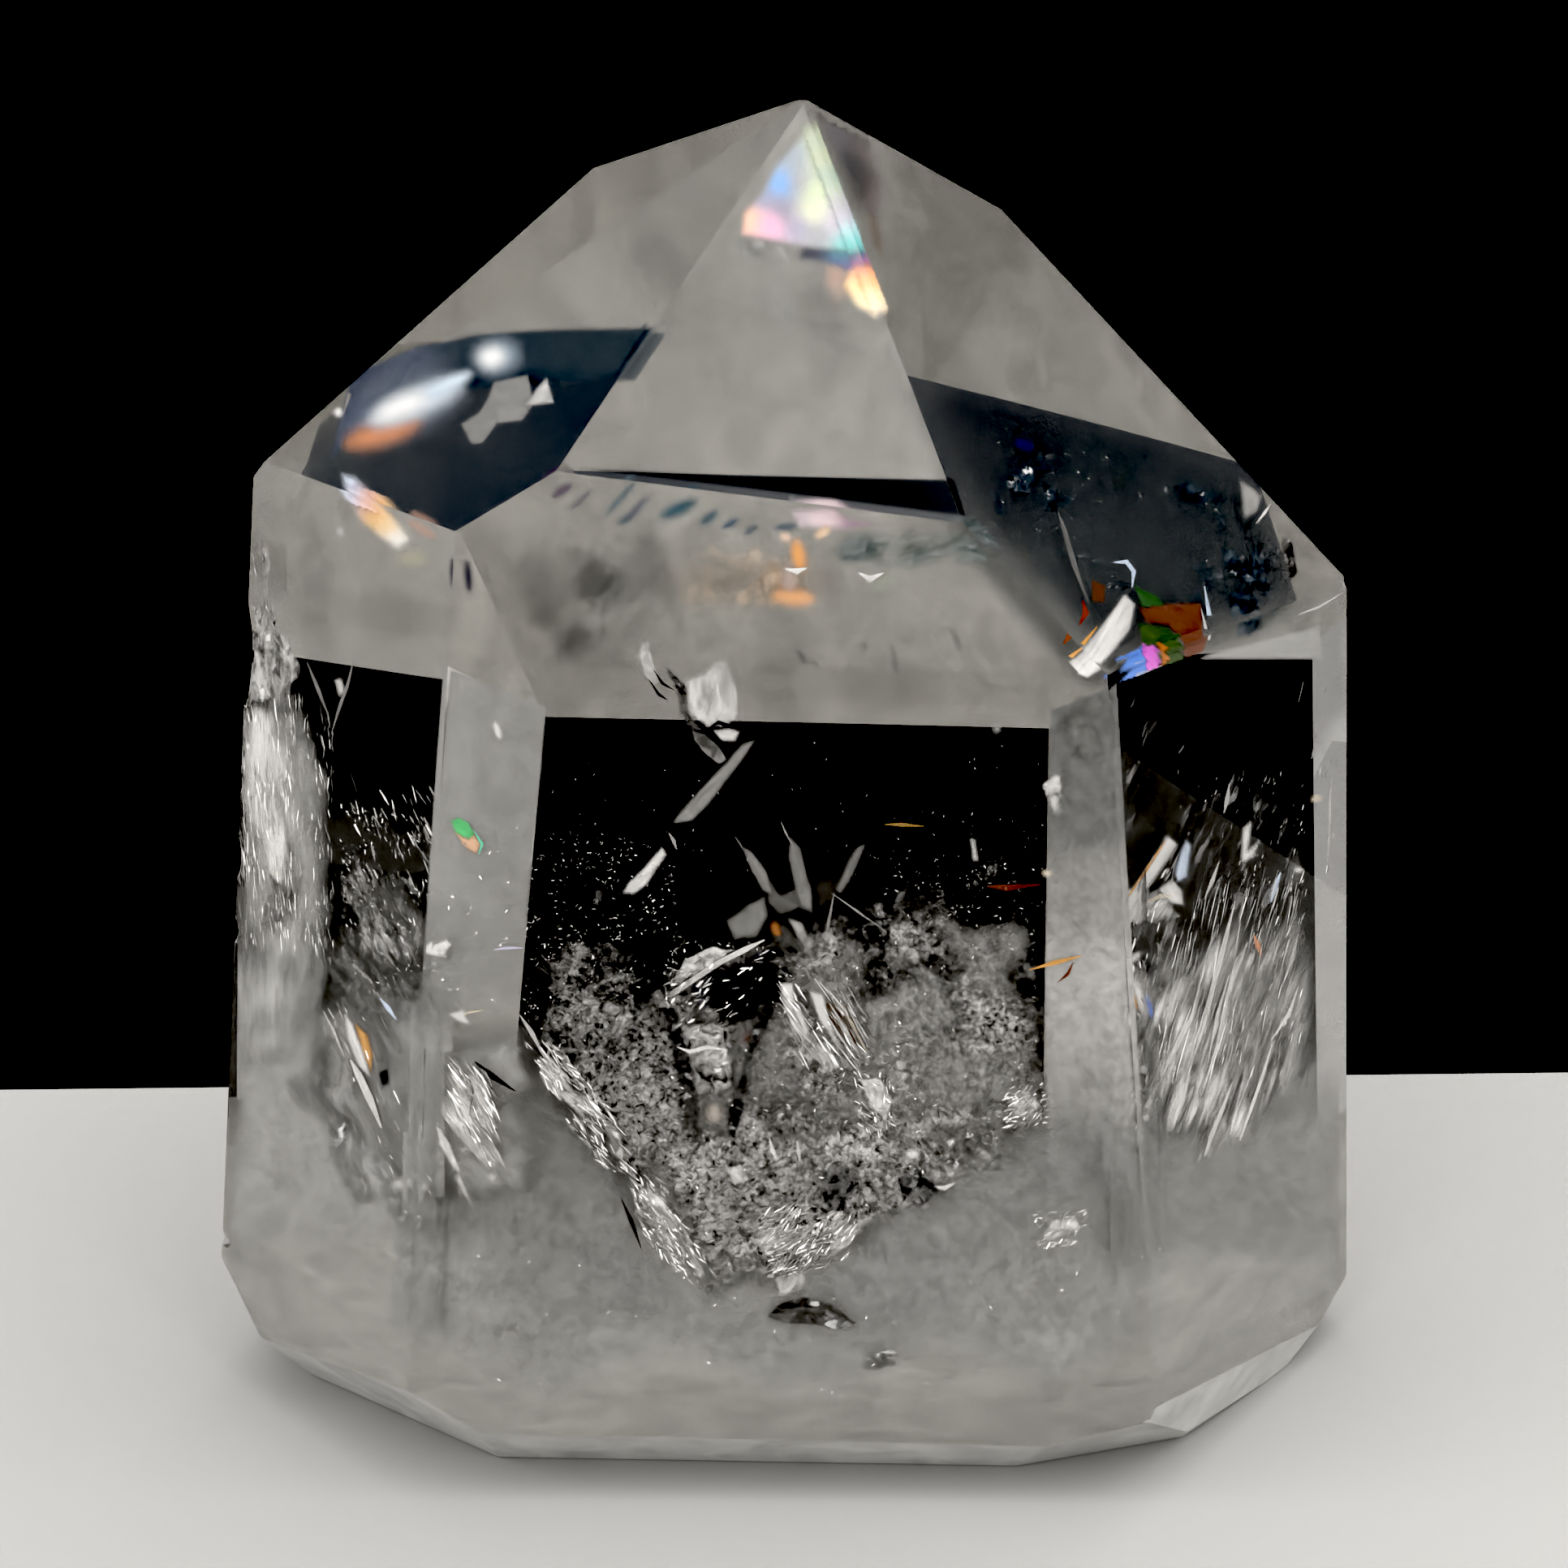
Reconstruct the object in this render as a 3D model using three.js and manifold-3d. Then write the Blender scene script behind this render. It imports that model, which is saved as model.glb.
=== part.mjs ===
// A stubby six-sided quartz point, ground flat by hand: six leaning walls, a six-faced tip that
// peaks toward the front, a flat base with softened lower edges, and small chips on the left edge.
// Millimetres. The base rests on Z = 0, the front wall faces -Y and the tip points up +Z.

import * as THREE from "three";
import { mergeVertices } from "three/addons/utils/BufferGeometryUtils.js";
import Module from "manifold-3d";

const STONE_HEIGHT = 55;
const TIP_WEAR = 0.12;
const BLANK_SIZE = 90;
const CUTTER_SIZE = 160;

// Every facet is one flat cut. turn: degrees around Z, 0 faces the front and 90 the right.
// tilt: degrees that the facet's outward direction rises above level, below level when negative.
// reach: distance from the middle of the base to the facet's plane, square to that plane.
const WALLS = [
  { turn: -1.7, tilt: -1.4, reach: 16.97 },
  { turn: -50.0, tilt: 3.1, reach: 22.57 },
  { turn: 56.1, tilt: 3.2, reach: 21.95 },
  { turn: 179.4, tilt: 0.9, reach: 18.08 },
  { turn: -115.5, tilt: 6.0, reach: 18.88 },
  { turn: 118.6, tilt: 0.5, reach: 18.73 },
];
const TIP_FACES = [
  { turn: 5.3, tilt: 40.8, reach: 41.84 },
  { turn: -54.0, tilt: 51.3, reach: 45.2 },
  { turn: 62.2, tilt: 37.9, reach: 37.26 },
  { turn: 178.0, tilt: 40.2, reach: 29.73 },
  { turn: -119.2, tilt: 41.6, reach: 37.1 },
  { turn: 118.5, tilt: 38.5, reach: 35.4 },
];
const LOWER_BEVELS = [
  { turn: -2.9, tilt: -45.0, reach: 9.97 },
  { turn: 16.4, tilt: -47.3, reach: 11.24 },
  { turn: 50.8, tilt: -18.7, reach: 19.59 },
  { turn: 47.1, tilt: -39.4, reach: 15.66 },
  { turn: 77.8, tilt: -39.5, reach: 16.86 },
  { turn: -38.3, tilt: -40.8, reach: 13.62 },
  { turn: -87.5, tilt: -32.5, reach: 17.17 },
  { turn: -130.0, tilt: -42.0, reach: 13.3 },
  { turn: 180.0, tilt: -45.0, reach: 12.2 },
  { turn: 128.0, tilt: -43.0, reach: 14.2 },
];

// Chips are bites of broken stone. at: the middle of the bite, size: its half widths, spin: its turn.
const CHIPS = [
  // A long shallow spall down the upper left edge, which leaves a small ledge under it.
  { at: [-20.95, -7.55, 33.4], size: [0.62, 0.75, 3.1], spin: 20 },
  // Narrow dark pits beside the same edge.
  { at: [-19.8, -8.6, 37.6], size: [0.3, 0.32, 0.8], spin: 50 },
  { at: [-19.9, -8.65, 36.2], size: [0.24, 0.34, 0.6], spin: 35 },
  { at: [-19.62, -8.98, 35.1], size: [0.2, 0.3, 0.42], spin: 65 },
  // Rough nicks lower on the left edge.
  { at: [-21.62, -7.3, 27.6], size: [0.42, 0.45, 0.9], spin: 10 },
  { at: [-21.86, -7.2, 24.3], size: [0.36, 0.5, 1.3], spin: 40 },
  { at: [-22.12, -7.12, 20.9], size: [0.34, 0.38, 0.7], spin: 75 },
  { at: [-23.36, -6.84, 6.4], size: [0.36, 0.42, 0.4], spin: 30 },
  // Nicks on the right shoulder, the right edge and the lower right bevel.
  { at: [22.4, -2.8, 33.55], size: [0.4, 0.4, 0.32], spin: 15 },
  { at: [22.86, -2.7, 28.9], size: [0.3, 0.36, 0.6], spin: 55 },
  { at: [14.1, -17.75, 3.8], size: [0.36, 0.4, 0.34], spin: 5 },
  { at: [20.6, -9.2, 2.0], size: [0.4, 0.44, 0.3], spin: 35 },
];

const wasm = await Module();
wasm.setup();

/** Turns a closed three.js geometry into a solid that can be cut. */
function toSolid(geometry) {
  const plain = geometry.clone();
  plain.deleteAttribute("normal");
  plain.deleteAttribute("uv");
  const merged = mergeVertices(plain, 1e-5);
  const vertProperties = new Float32Array(merged.attributes.position.array);
  const triVerts = new Uint32Array(merged.index.array);
  return new wasm.Manifold(new wasm.Mesh({ numProp: 3, vertProperties, triVerts }));
}

/** Turns a cut solid back into a three.js geometry with flat faces. */
function toGeometry(solid) {
  const mesh = solid.getMesh();
  const geometry = new THREE.BufferGeometry();
  geometry.setAttribute("position", new THREE.BufferAttribute(new Float32Array(mesh.vertProperties), 3));
  geometry.setIndex(new THREE.BufferAttribute(new Uint32Array(mesh.triVerts), 1));
  geometry.computeVertexNormals();
  return geometry;
}

/** The outward direction of a facet. */
function outward({ turn, tilt }) {
  const around = THREE.MathUtils.degToRad(turn);
  const up = THREE.MathUtils.degToRad(tilt);
  return new THREE.Vector3(
    Math.sin(around) * Math.cos(up),
    -Math.cos(around) * Math.cos(up),
    Math.sin(up),
  );
}

/** A large block whose inner side lies on a facet's plane, as a grinding wheel lies on the stone. */
function facetCutter(facet) {
  const direction = outward(facet);
  const block = new THREE.BoxGeometry(CUTTER_SIZE, CUTTER_SIZE, CUTTER_SIZE);
  block.translate(0, 0, CUTTER_SIZE / 2);
  const turnToFacet = new THREE.Quaternion().setFromUnitVectors(new THREE.Vector3(0, 0, 1), direction);
  block.applyQuaternion(turnToFacet);
  block.translate(direction.x * facet.reach, direction.y * facet.reach, direction.z * facet.reach);
  return toSolid(block);
}

/** A small angular bite. */
function chipCutter({ at, size, spin }) {
  const bite = new THREE.IcosahedronGeometry(1, 0);
  bite.scale(...size);
  bite.rotateZ(THREE.MathUtils.degToRad(spin));
  bite.translate(...at);
  return toSolid(bite);
}

/** The stone, ground from a blank that stands on Z = 0. */
function cutStone() {
  const blank = new THREE.BoxGeometry(BLANK_SIZE, BLANK_SIZE, BLANK_SIZE);
  blank.translate(0, 0, BLANK_SIZE / 2);
  const wornTip = { turn: 0, tilt: 90, reach: STONE_HEIGHT - TIP_WEAR };
  let stone = toSolid(blank);
  for (const facet of [...WALLS, ...TIP_FACES, ...LOWER_BEVELS, wornTip]) {
    stone = stone.subtract(facetCutter(facet));
  }
  for (const chip of CHIPS) {
    stone = stone.subtract(chipCutter(chip));
  }
  return toGeometry(stone);
}

const clearQuartz = new THREE.MeshStandardMaterial({
  name: "clear_quartz",
  color: 0xe9e7e3,
  roughness: 0.04,
  metalness: 0,
  transparent: true,
  opacity: 0.35,
  flatShading: true,
});

const tower = new THREE.Mesh(cutStone(), clearQuartz);
tower.name = "quartz_tower";

const object = new THREE.Group();
object.add(tower);

export default object;
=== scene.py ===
"""A clear, crackled quartz point on a pale floor, dressed around its solid model. Metres, +Z up."""
import math
import random

import bmesh
import bpy
from mathutils import Matrix, Vector, geometry, noise as swirl
from mathutils.bvhtree import BVHTree


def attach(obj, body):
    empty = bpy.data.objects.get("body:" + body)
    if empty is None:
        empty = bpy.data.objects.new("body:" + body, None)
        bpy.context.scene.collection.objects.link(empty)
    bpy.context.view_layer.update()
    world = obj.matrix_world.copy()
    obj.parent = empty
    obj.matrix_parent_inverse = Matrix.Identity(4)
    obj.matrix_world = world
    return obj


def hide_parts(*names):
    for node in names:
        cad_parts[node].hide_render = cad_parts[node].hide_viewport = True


MM = 0.001
QUARTZ_IOR = 1.544

# The camera, fitted to the photograph's outline and facets.
CAMERA_PLACE = Vector((0.0, -0.1698, 0.10184))
CAMERA_DOWN_DEG = 24.7
CAMERA_ROLL_DEG = 0.63
CAMERA_LENS_MM = 104.25
CAMERA_SEES = (0.001, 10.0)
SENSOR_MM = 36.0
PHOTO_SIZE = 1932

# The stone's finish.
WELD_DISTANCE = 0.002 * MM
FLAT_WITHIN_DEG = 0.3
SHARP_ABOVE_DEG = 8
EDGE_ROUNDING = 0.07 * MM
GROUND_ZONE_HEIGHT = 6.0 * MM
GROUND_FACE_SLOPE = -0.25
POLISH_ROUGHNESS = 0.0
CLEAR_TINT = (1.0, 0.992, 0.98, 1.0)
ABSORPTION_TINT = (0.93, 0.88, 0.8, 1.0)
ABSORPTION_DENSITY = 3.0
BASE_COLOUR = (0.44, 0.434, 0.42, 1.0)
BASE_MOTTLE = (0.325, 0.32, 0.312, 1.0)

# Patterns. A noise is its scale, detail and distortion. A slope is a factor and what is added.
NOISE_ROUGHNESS = 0.64
BASE_CLOUDS = (340.0, 8.0, 0.8)
BASE_CLOUDS_SLOPE = (3.2, -1.1)
CRACKLE_CLOUDS = (0.13, 5.0, 0.7)
CRACKLE_MOTTLE = (0.34, 6.0, 0.8)
CLOUDS_CONTRAST = 1.2
MOTTLE_CONTRAST = 3.4
CELL_SCALE = 0.55
CELL_WARP = (0.5, 2.0, 0.0)
CELL_WARP_REACH = (2.2, 2.2, 2.2)
# Painted glints: the white cells of gritty crackle, set by rarity, mottle and grit.
PAINTED_GLINT_RARITY_SLOPE = (8.0, -6.6)
PAINTED_GLINT_MOTTLE_SLOPE = (9.0, 0.3)
PAINTED_GLINT_GRIT_SLOPE = (0.33, -0.66)
FLAKE_METALLIC = 0.6
FLAKE_ROUGHNESS = 0.3

# The light.
GREY_SKY = (0.46, 0.455, 0.45, 1.0)
DARK_SKY = (0.002, 0.003, 0.004, 1.0)
OVERHEAD_SKY = (3.6, 3.56, 3.49, 1.0)
SOFTBOX = (4.2, 4.16, 4.07, 1.0)
FRONT_SKY = (1.6, 1.6, 1.6, 1.0)
FRONT_LEFT_SKY = (3.6, 3.6, 3.6, 1.0)
FRONT_RIGHT_SKY = (3.0, 3.0, 3.0, 1.0)
DIM_SKY = (0.09, 0.12, 0.16, 1.0)
UNDER_SKY = (0.078, 0.085, 0.096, 1.0)
BLACK_LEVEL = 0.095
LIGHT_BOUNCES = 24
CLEAR_LAYERS = 48

# The floor, which ends behind the stone.
FLOOR_COLOUR = (0.3, 0.296, 0.29, 1.0)
FLOOR_HALF_WIDTH = 0.5
FLOOR_FRONT = -0.6
FLOOR_BACK = 0.0183
FLOOR_DROP = 0.05 * MM

# Sheets and flakes inside the stone.
# Soft edges: how far one reaches past its outline, as a share of its softness, and its mesh steps.
SOFT_REACH = 0.8
STEPS_PER_SOFTNESS = 2.5
FINEST_STEP = 2.5
COARSEST_STEP = 10.0
# How much a gritty sheet's strength varies from place to place, and over how many picture points.
PATCHINESS = 0.5
PATCH_SIZE = 55.0
PATCHY_ABOVE_GRIT = 1.2
# Steps between the patterns of one sheet and the next.
PATCH_STEP = 3.7
GRAIN_STEP = 7.3
# How far a colour stop reaches, in square picture points, and the dark tone of a gritty glow.
STOP_REACH = 260
GLOW_SHADE = 0.7
# Two facets are the same one when their directions agree this closely.
SAME_FACET = 0.9995
# A sight line's way out of the stone is looked for from this far behind the facet it enters.
SKIN = 0.3 * MM
# Things stay this far in front of the far side, and are left out where less room than this is left.
BACK_MARGIN = 0.4 * MM
LEAST_DEPTH = 0.2 * MM
# Grey tones are a little warm.
GREY_TINT = (1.0, 0.985, 0.965)
# Crisp flakes, thin lines and ovals.
SHARD_SHADE = 0.68
SHARD_GRAIN = 3.0
SHARD_STRETCH = 7.0
SHARD_SOFTNESS = 2.5
HAIR_TIP = 0.2
BLOB_POINTS = 14
BLOB_SOFTNESS = 0.6
# Flakes: corners, how far these slip, the greatest tilt, and how they clump.
FLAKE_SEED = 20
FLAKE_CORNERS = 5
CORNER_SLIP = 0.3
FLAKE_TILT = 1.1
FLAKE_TONES = (0.5, 1.0)
CLUMP_SIZE = 34
CLUMP_LIMITS = (-0.45, 0.5)


# Cracks, veils and flashes inside the stone, with painted light and shade: painted dark sheets,
# reflections, glints and a rainbow. Outlines are points of the photograph, in its 1932-pixel
# frame, and depth is how far behind the facet the thing lies, in mm. A pair is its value at the top
# and at the foot. Tones are reflectances: a grey number or a colour. A sheet is lowest in its low
# tone and brightest in its high one, cover is how much of it is there, grit how broken it is, and
# grain how coarse, in picture points.

def dimmed(tone, share):
    """A share of a grey number or a colour."""
    return tone * share if isinstance(tone, (int, float)) else tuple(part * share for part in tone)


def path(text):
    """Picture points, written as "u,v u,v"."""
    return [tuple(int(number) for number in point.split(",")) for point in text.split()]


def sheet(outline, depth, low, high, cover=1.0, grit=0.0, grain=6.0, stretch=1.0, lean=0.0, soft=0.0):
    """A thin sheet of crackle, painted light or painted shade. lean is the way its grain runs, clockwise
    from level.
    """
    return dict(outline=outline, depth=depth, low=low, high=high, cover=cover, grit=grit,
                grain=grain, stretch=stretch, lean=lean, soft=soft)


def veil(outline, depth, low, high, cover=1.0, grit=3.0, grain=4.0, stretch=1.0, lean=0.0, soft=12.0):
    """A soft-edged sheet of fine crackle, also used for painted shade."""
    return sheet(path(outline), depth, low, high, cover, grit, grain, stretch, lean, soft)


def glow(outline, depth, stops, cover=1.0, grit=0.0, soft=8.0):
    """A soft-edged sheet whose colour runs between stops, each a place and its colour."""
    made = sheet(path(outline), depth, 0.0, 0.0, cover=cover, grit=grit, soft=soft)
    made["stops"] = stops
    return made


def through(made, u, v):
    """The sheet, kept behind the one facet that lies at a picture point."""
    made["through"] = (u, v)
    return made


def streaked(outline, depth, tone, soft):
    """A sheet streaked along its length."""
    start = outline[0]
    far = max(outline, key=lambda point: math.dist(point, start))
    lean = math.degrees(math.atan2(far[1] - start[1], far[0] - start[0]))
    return sheet(outline, depth, dimmed(tone, SHARD_SHADE), tone, grain=SHARD_GRAIN,
                 stretch=SHARD_STRETCH, lean=lean, soft=soft)


def shard(outline, depth, tone):
    """A crisp-edged flake."""
    return streaked(path(outline), depth, tone, SHARD_SOFTNESS)


def hair(line, width, depth, tone):
    """A thin bright or dark line, tapered to both ends."""
    points = path(line)
    left, right = [], []
    for i, (u, v) in enumerate(points):
        before = points[max(i - 1, 0)]
        after = points[min(i + 1, len(points) - 1)]
        run_u, run_v = after[0] - before[0], after[1] - before[1]
        length = math.hypot(run_u, run_v)
        taper = HAIR_TIP if i in (0, len(points) - 1) else 1.0
        side_u, side_v = -run_v / length * width / 2 * taper, run_u / length * width / 2 * taper
        left.append((u + side_u, v + side_v))
        right.append((u - side_u, v - side_v))
    return streaked(left + right[::-1], depth, tone, 0.0)


def blob(middle, half_length, half_width, lean, depth, tone, cover=1.0):
    """A soft oval."""
    turn = math.radians(lean)
    outline = []
    for i in range(BLOB_POINTS):
        angle = 2 * math.pi * i / BLOB_POINTS
        along = (half_length - (1 - BLOB_SOFTNESS) * half_width) * math.cos(angle)
        across = BLOB_SOFTNESS * half_width * math.sin(angle)
        outline.append((middle[0] + along * math.cos(turn) - across * math.sin(turn),
                        middle[1] + along * math.sin(turn) + across * math.cos(turn)))
    return sheet(outline, depth, tone, tone, cover=cover, soft=half_width * BLOB_SOFTNESS)


def sparks(outline, count, depth, length, width, lean=0.0, spread=180.0, tone=0.9, foot=1.0):
    """Loose flakes. length and width are ranges of size in picture points, foot is how much
    denser they lie at the foot of the outline than at its top."""
    return dict(outline=path(outline), count=count, depth=depth, length=length, width=width,
                lean=lean, spread=spread, tone=tone, foot=foot)


WHITE = 0.95
BLUE_WHITE = (0.75, 0.85, 1.0)
CREAM = (0.85, 0.76, 0.62)
ORANGE = (0.85, 0.48, 0.2)
INK = (0.004, 0.006, 0.01)
NAVY = (0.01, 0.02, 0.05)

LEFT_EDGE = [
    veil("318,640 336,690 342,780 360,840 366,900 330,900 310,870 308,790 312,700",
         1.4, 0.02, 0.8, cover=0.5, grit=4.5, stretch=4, lean=92, soft=14),
    veil("300,870 368,880 400,960 404,1100 396,1200 380,1300 270,1320 284,1100 290,960",
         1.9, 0.3, 0.62, cover=(1.0, 0.7), grit=1.6, grain=8, stretch=5, lean=92, soft=34),
    veil("298,870 344,885 372,980 382,1090 372,1180 336,1230 292,1170 292,960",
         1.4, 0.6, 1.0, cover=(0.9, 0.1), grit=2.6, stretch=8, lean=89, soft=26),
    veil("300,880 330,890 350,960 360,1050 362,1130 336,1140 312,1060 298,980",
         1.2, 0.85, 1.0, cover=0.7, stretch=8, lean=87, soft=22),
    veil("300,1060 372,1080 384,1190 340,1230 290,1180",
         1.1, 0.03, 0.3, cover=0.34, grit=6, grain=5, stretch=2.5, lean=85, soft=24),
    hair("437,808 428,845 418,872 408,905", 4, 1.8, 0.35),
    hair("378,815 392,850 404,880", 5, 1.8, 0.3),
    shard("413,838 420,836 424,850 418,858", 1.8, 0.8),
]

LEFT_WINDOW = [
    veil("420,930 470,950 545,975 545,1060 538,1150 532,1218 470,1232 430,1235 408,1160 410,1050",
         3.0, 0.01, 0.5, cover=(-0.1, 0.5), grit=5, grain=2, stretch=2.6, lean=62, soft=30),
    veil("408,1060 540,1060 532,1260 470,1280 430,1280 396,1190",
         3.4, 0.05, 0.27, cover=(0.3, 1.0), grit=2.2, grain=3, stretch=2, lean=62, soft=60),
    veil("270,1260 400,1250 450,1262 535,1250 528,1500 440,1520 330,1520 250,1560 260,1330",
         2.2, 0.36, 0.47, grit=1.0, grain=7, soft=60),
    veil("390,1250 470,1240 512,1300 508,1465 440,1480 390,1400 350,1330",
         2.0, 0.14, 0.44, cover=0.6, grit=2.4, grain=9, stretch=2.5, lean=62, soft=30),
    shard("425,1250 434,1262 449,1300 456,1327 441,1312 429,1280", 1.7, WHITE),
    shard("438,1262 452,1275 459,1300 456,1320 447,1297", 1.75, ORANGE),
    hair("432,1306 442,1325 456,1355 470,1390", 9, 1.7, WHITE),
    shard("466,1322 478,1316 479,1335 470,1339", 1.7, INK),
    hair("468,1230 478,1242 488,1256", 6, 1.7, BLUE_WHITE),
    hair("398,1245 410,1268 424,1302", 4, 1.7, 0.7),
    blob((495, 1458), 18, 12, -20, 1.7, 0.6),
    veil("395,1385 432,1375 436,1450 420,1460 400,1420",
         1.8, 0.06, 0.3, cover=0.45, grit=5, grain=7, soft=14),
    veil("470,1465 560,1455 560,1500 520,1530 470,1500",
         1.8, 0.1, 0.36, cover=0.5, grit=4, grain=7, soft=16),
]

LEFT_STRIP = [
    through(veil("556,826 672,872 661,1000 650,1120 638,1255 522,1260 541,1000",
                 0.9, 0.33, 0.4, cover=(1.8, 0.4), grit=0.8, grain=9, soft=4), 600, 1000),
    shard("556,1012 565,1008 577,1014 584,1028 576,1034 562,1026", 0.8, (0.25, 0.8, 0.35)),
    shard("562,1026 576,1034 584,1028 592,1040 586,1052 572,1042", 0.8, (0.9, 0.6, 0.42)),
    hair("584,1024 594,1040 590,1053", 4, 0.7, (0.3, 0.85, 0.6)),
    blob((613, 900), 13, 6, 70, 0.7, 0.95),
    shard("522,1170 550,1158 556,1163 546,1178 530,1176", 0.7, WHITE),
    hair("608,1170 625,1168 645,1168", 4, 0.7, (0.8, 0.78, 0.95)),
    shard("555,1250 570,1245 578,1262 565,1258", 0.7, WHITE),
    hair("565,1252 580,1247 596,1245", 3, 0.7, CREAM),
    blob((577, 710), 24, 9, 85, 1.5, (0.05, 0.05, 0.07)),
    veil("580,1320 600,1335 618,1420 612,1440 590,1430 560,1400 538,1370 545,1350",
         1.6, 0.45, 1.0, cover=0.75, grit=5, stretch=4, lean=62, soft=6),
    hair("575,1320 583,1345 578,1375", 3, 1.4, 0.25),
    veil("534,1385 545,1390 560,1420 575,1450 582,1475 604,1510 594,1508 565,1470 548,1430",
         1.6, 0.4, 0.95, cover=0.6, grit=5, stretch=4, lean=62, soft=7),
    hair("585,1308 605,1325 634,1344", 8, 1.5, (0.02, 0.025, 0.02)),
    shard("600,1450 612,1446 608,1455", 1.5, 0.8),
    veil("560,1290 640,1280 660,1420 640,1470 560,1470 520,1420 530,1330",
         2.4, 0.3, 0.42, cover=0.6, grit=2.5, grain=7, soft=25),
]

FRONT_UPPER = [
    # A lump with a pit, where an old crack ends.
    veil("790,792 800,788 803,812 812,838 806,846 795,832 788,812",
         3.0, 0.45, 0.75, cover=0.85, grit=2, grain=3, soft=5),
    veil("820,822 834,832 846,846 850,876 866,900 852,900 836,880 832,850",
         2.8, 0.02, 0.16, cover=0.85, grain=3, soft=5),
    hair("800,838 812,856 822,862", 4, 2.8, 0.02),
    hair("806,826 816,842 830,850", 4, 2.8, 0.02),
    veil("846,838 872,826 882,812 897,813 906,832 911,880 898,893 872,896 852,880 846,858",
         2.7, 0.5, 0.85, cover=0.85, grit=2.4, grain=3, stretch=3, lean=88, soft=7),
    hair("872,898 885,890 903,896 912,888", 5, 2.5, INK),
    shard("880,901 898,898 911,902 905,913 890,912", 2.5, WHITE),
    veil("852,898 870,905 886,920 896,936 886,942 868,928 856,912",
         2.8, 0.12, 0.4, grit=2, grain=6, soft=4),
    # A plain grey blade below it.
    shard("930,912 914,936 894,962 872,992 852,1011 830,1014 836,1004 862,974 890,945 915,917", 3.2, 0.4),
    shard("816,1045 821,1053 808,1071 796,1090 780,1101 768,1100 776,1087 793,1071 805,1057", 3.4, WHITE),
    hair("824,1026 830,1036 834,1047", 5, 3.4, 0.5),
    # The star crack.
    shard("915,1044 926,1050 944,1074 952,1102 941,1098 926,1072", 4.0, 0.36),
    hair("905,1030 912,1040 918,1050", 3, 4.0, 0.25),
    shard("974,1032 986,1045 992,1072 1000,1100 1000,1122 986,1116 978,1085 972,1055", 4.0, 0.34),
    hair("962,1012 968,1026 978,1045", 3, 4.0, 0.4),
    shard("1066,1040 1058,1060 1046,1086 1036,1101 1031,1096 1044,1064 1056,1044", 4.0, 0.3),
    shard("948,1085 962,1104 978,1096 998,1090 1001,1126 984,1118 962,1127 946,1112", 4.1, 0.2),
    shard("1000,1085 1030,1078 1045,1082 1032,1104 1010,1120", 4.2, 0.1),
    hair("1024,1100 1055,1122 1092,1148", 3, 4.0, 0.5),
    hair("1028,1100 1022,1130 1016,1162", 4, 4.0, 0.4),
    shard("972,1132 988,1138 998,1160 1008,1186 1000,1182 985,1156", 3.9, 0.55),
    blob((956, 1145), 11, 7, 70, 3.9, (0.6, 0.26, 0.12), cover=0.9),
    veil("940,1130 985,1130 1010,1180 990,1195 950,1190 942,1160",
         4.3, 0.02, 0.14, cover=0.95, grit=2, grain=6, soft=8),
    veil("893,1135 918,1116 942,1104 946,1130 930,1155 905,1158",
         4.2, 0.2, 0.34, cover=0.9, grit=1.5, grain=6, soft=8),
    # A long curved crack with a dark band under it.
    hair("812,1240 832,1222 862,1202 890,1184 918,1170 942,1158", 7, 3.2, WHITE),
    veil("818,1218 845,1180 880,1165 905,1170 870,1196 838,1216",
         3.3, 0.3, 1.0, cover=0.75, grit=6, soft=8),
    veil("850,1218 900,1188 952,1168 955,1180 915,1215 862,1245",
         3.3, NAVY, 0.06, grit=1, grain=6, soft=8),
    hair("1090,1016 1110,1016 1138,1018", 5, 3.5, (0.5, 0.33, 0.15)),
    hair("1216,1092 1240,1094 1282,1090", 8, 3.5, (0.3, 0.12, 0.05)),
    shard("1196,1034 1201,1034 1205,1060 1199,1060", 3.5, 0.8),
]

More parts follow.
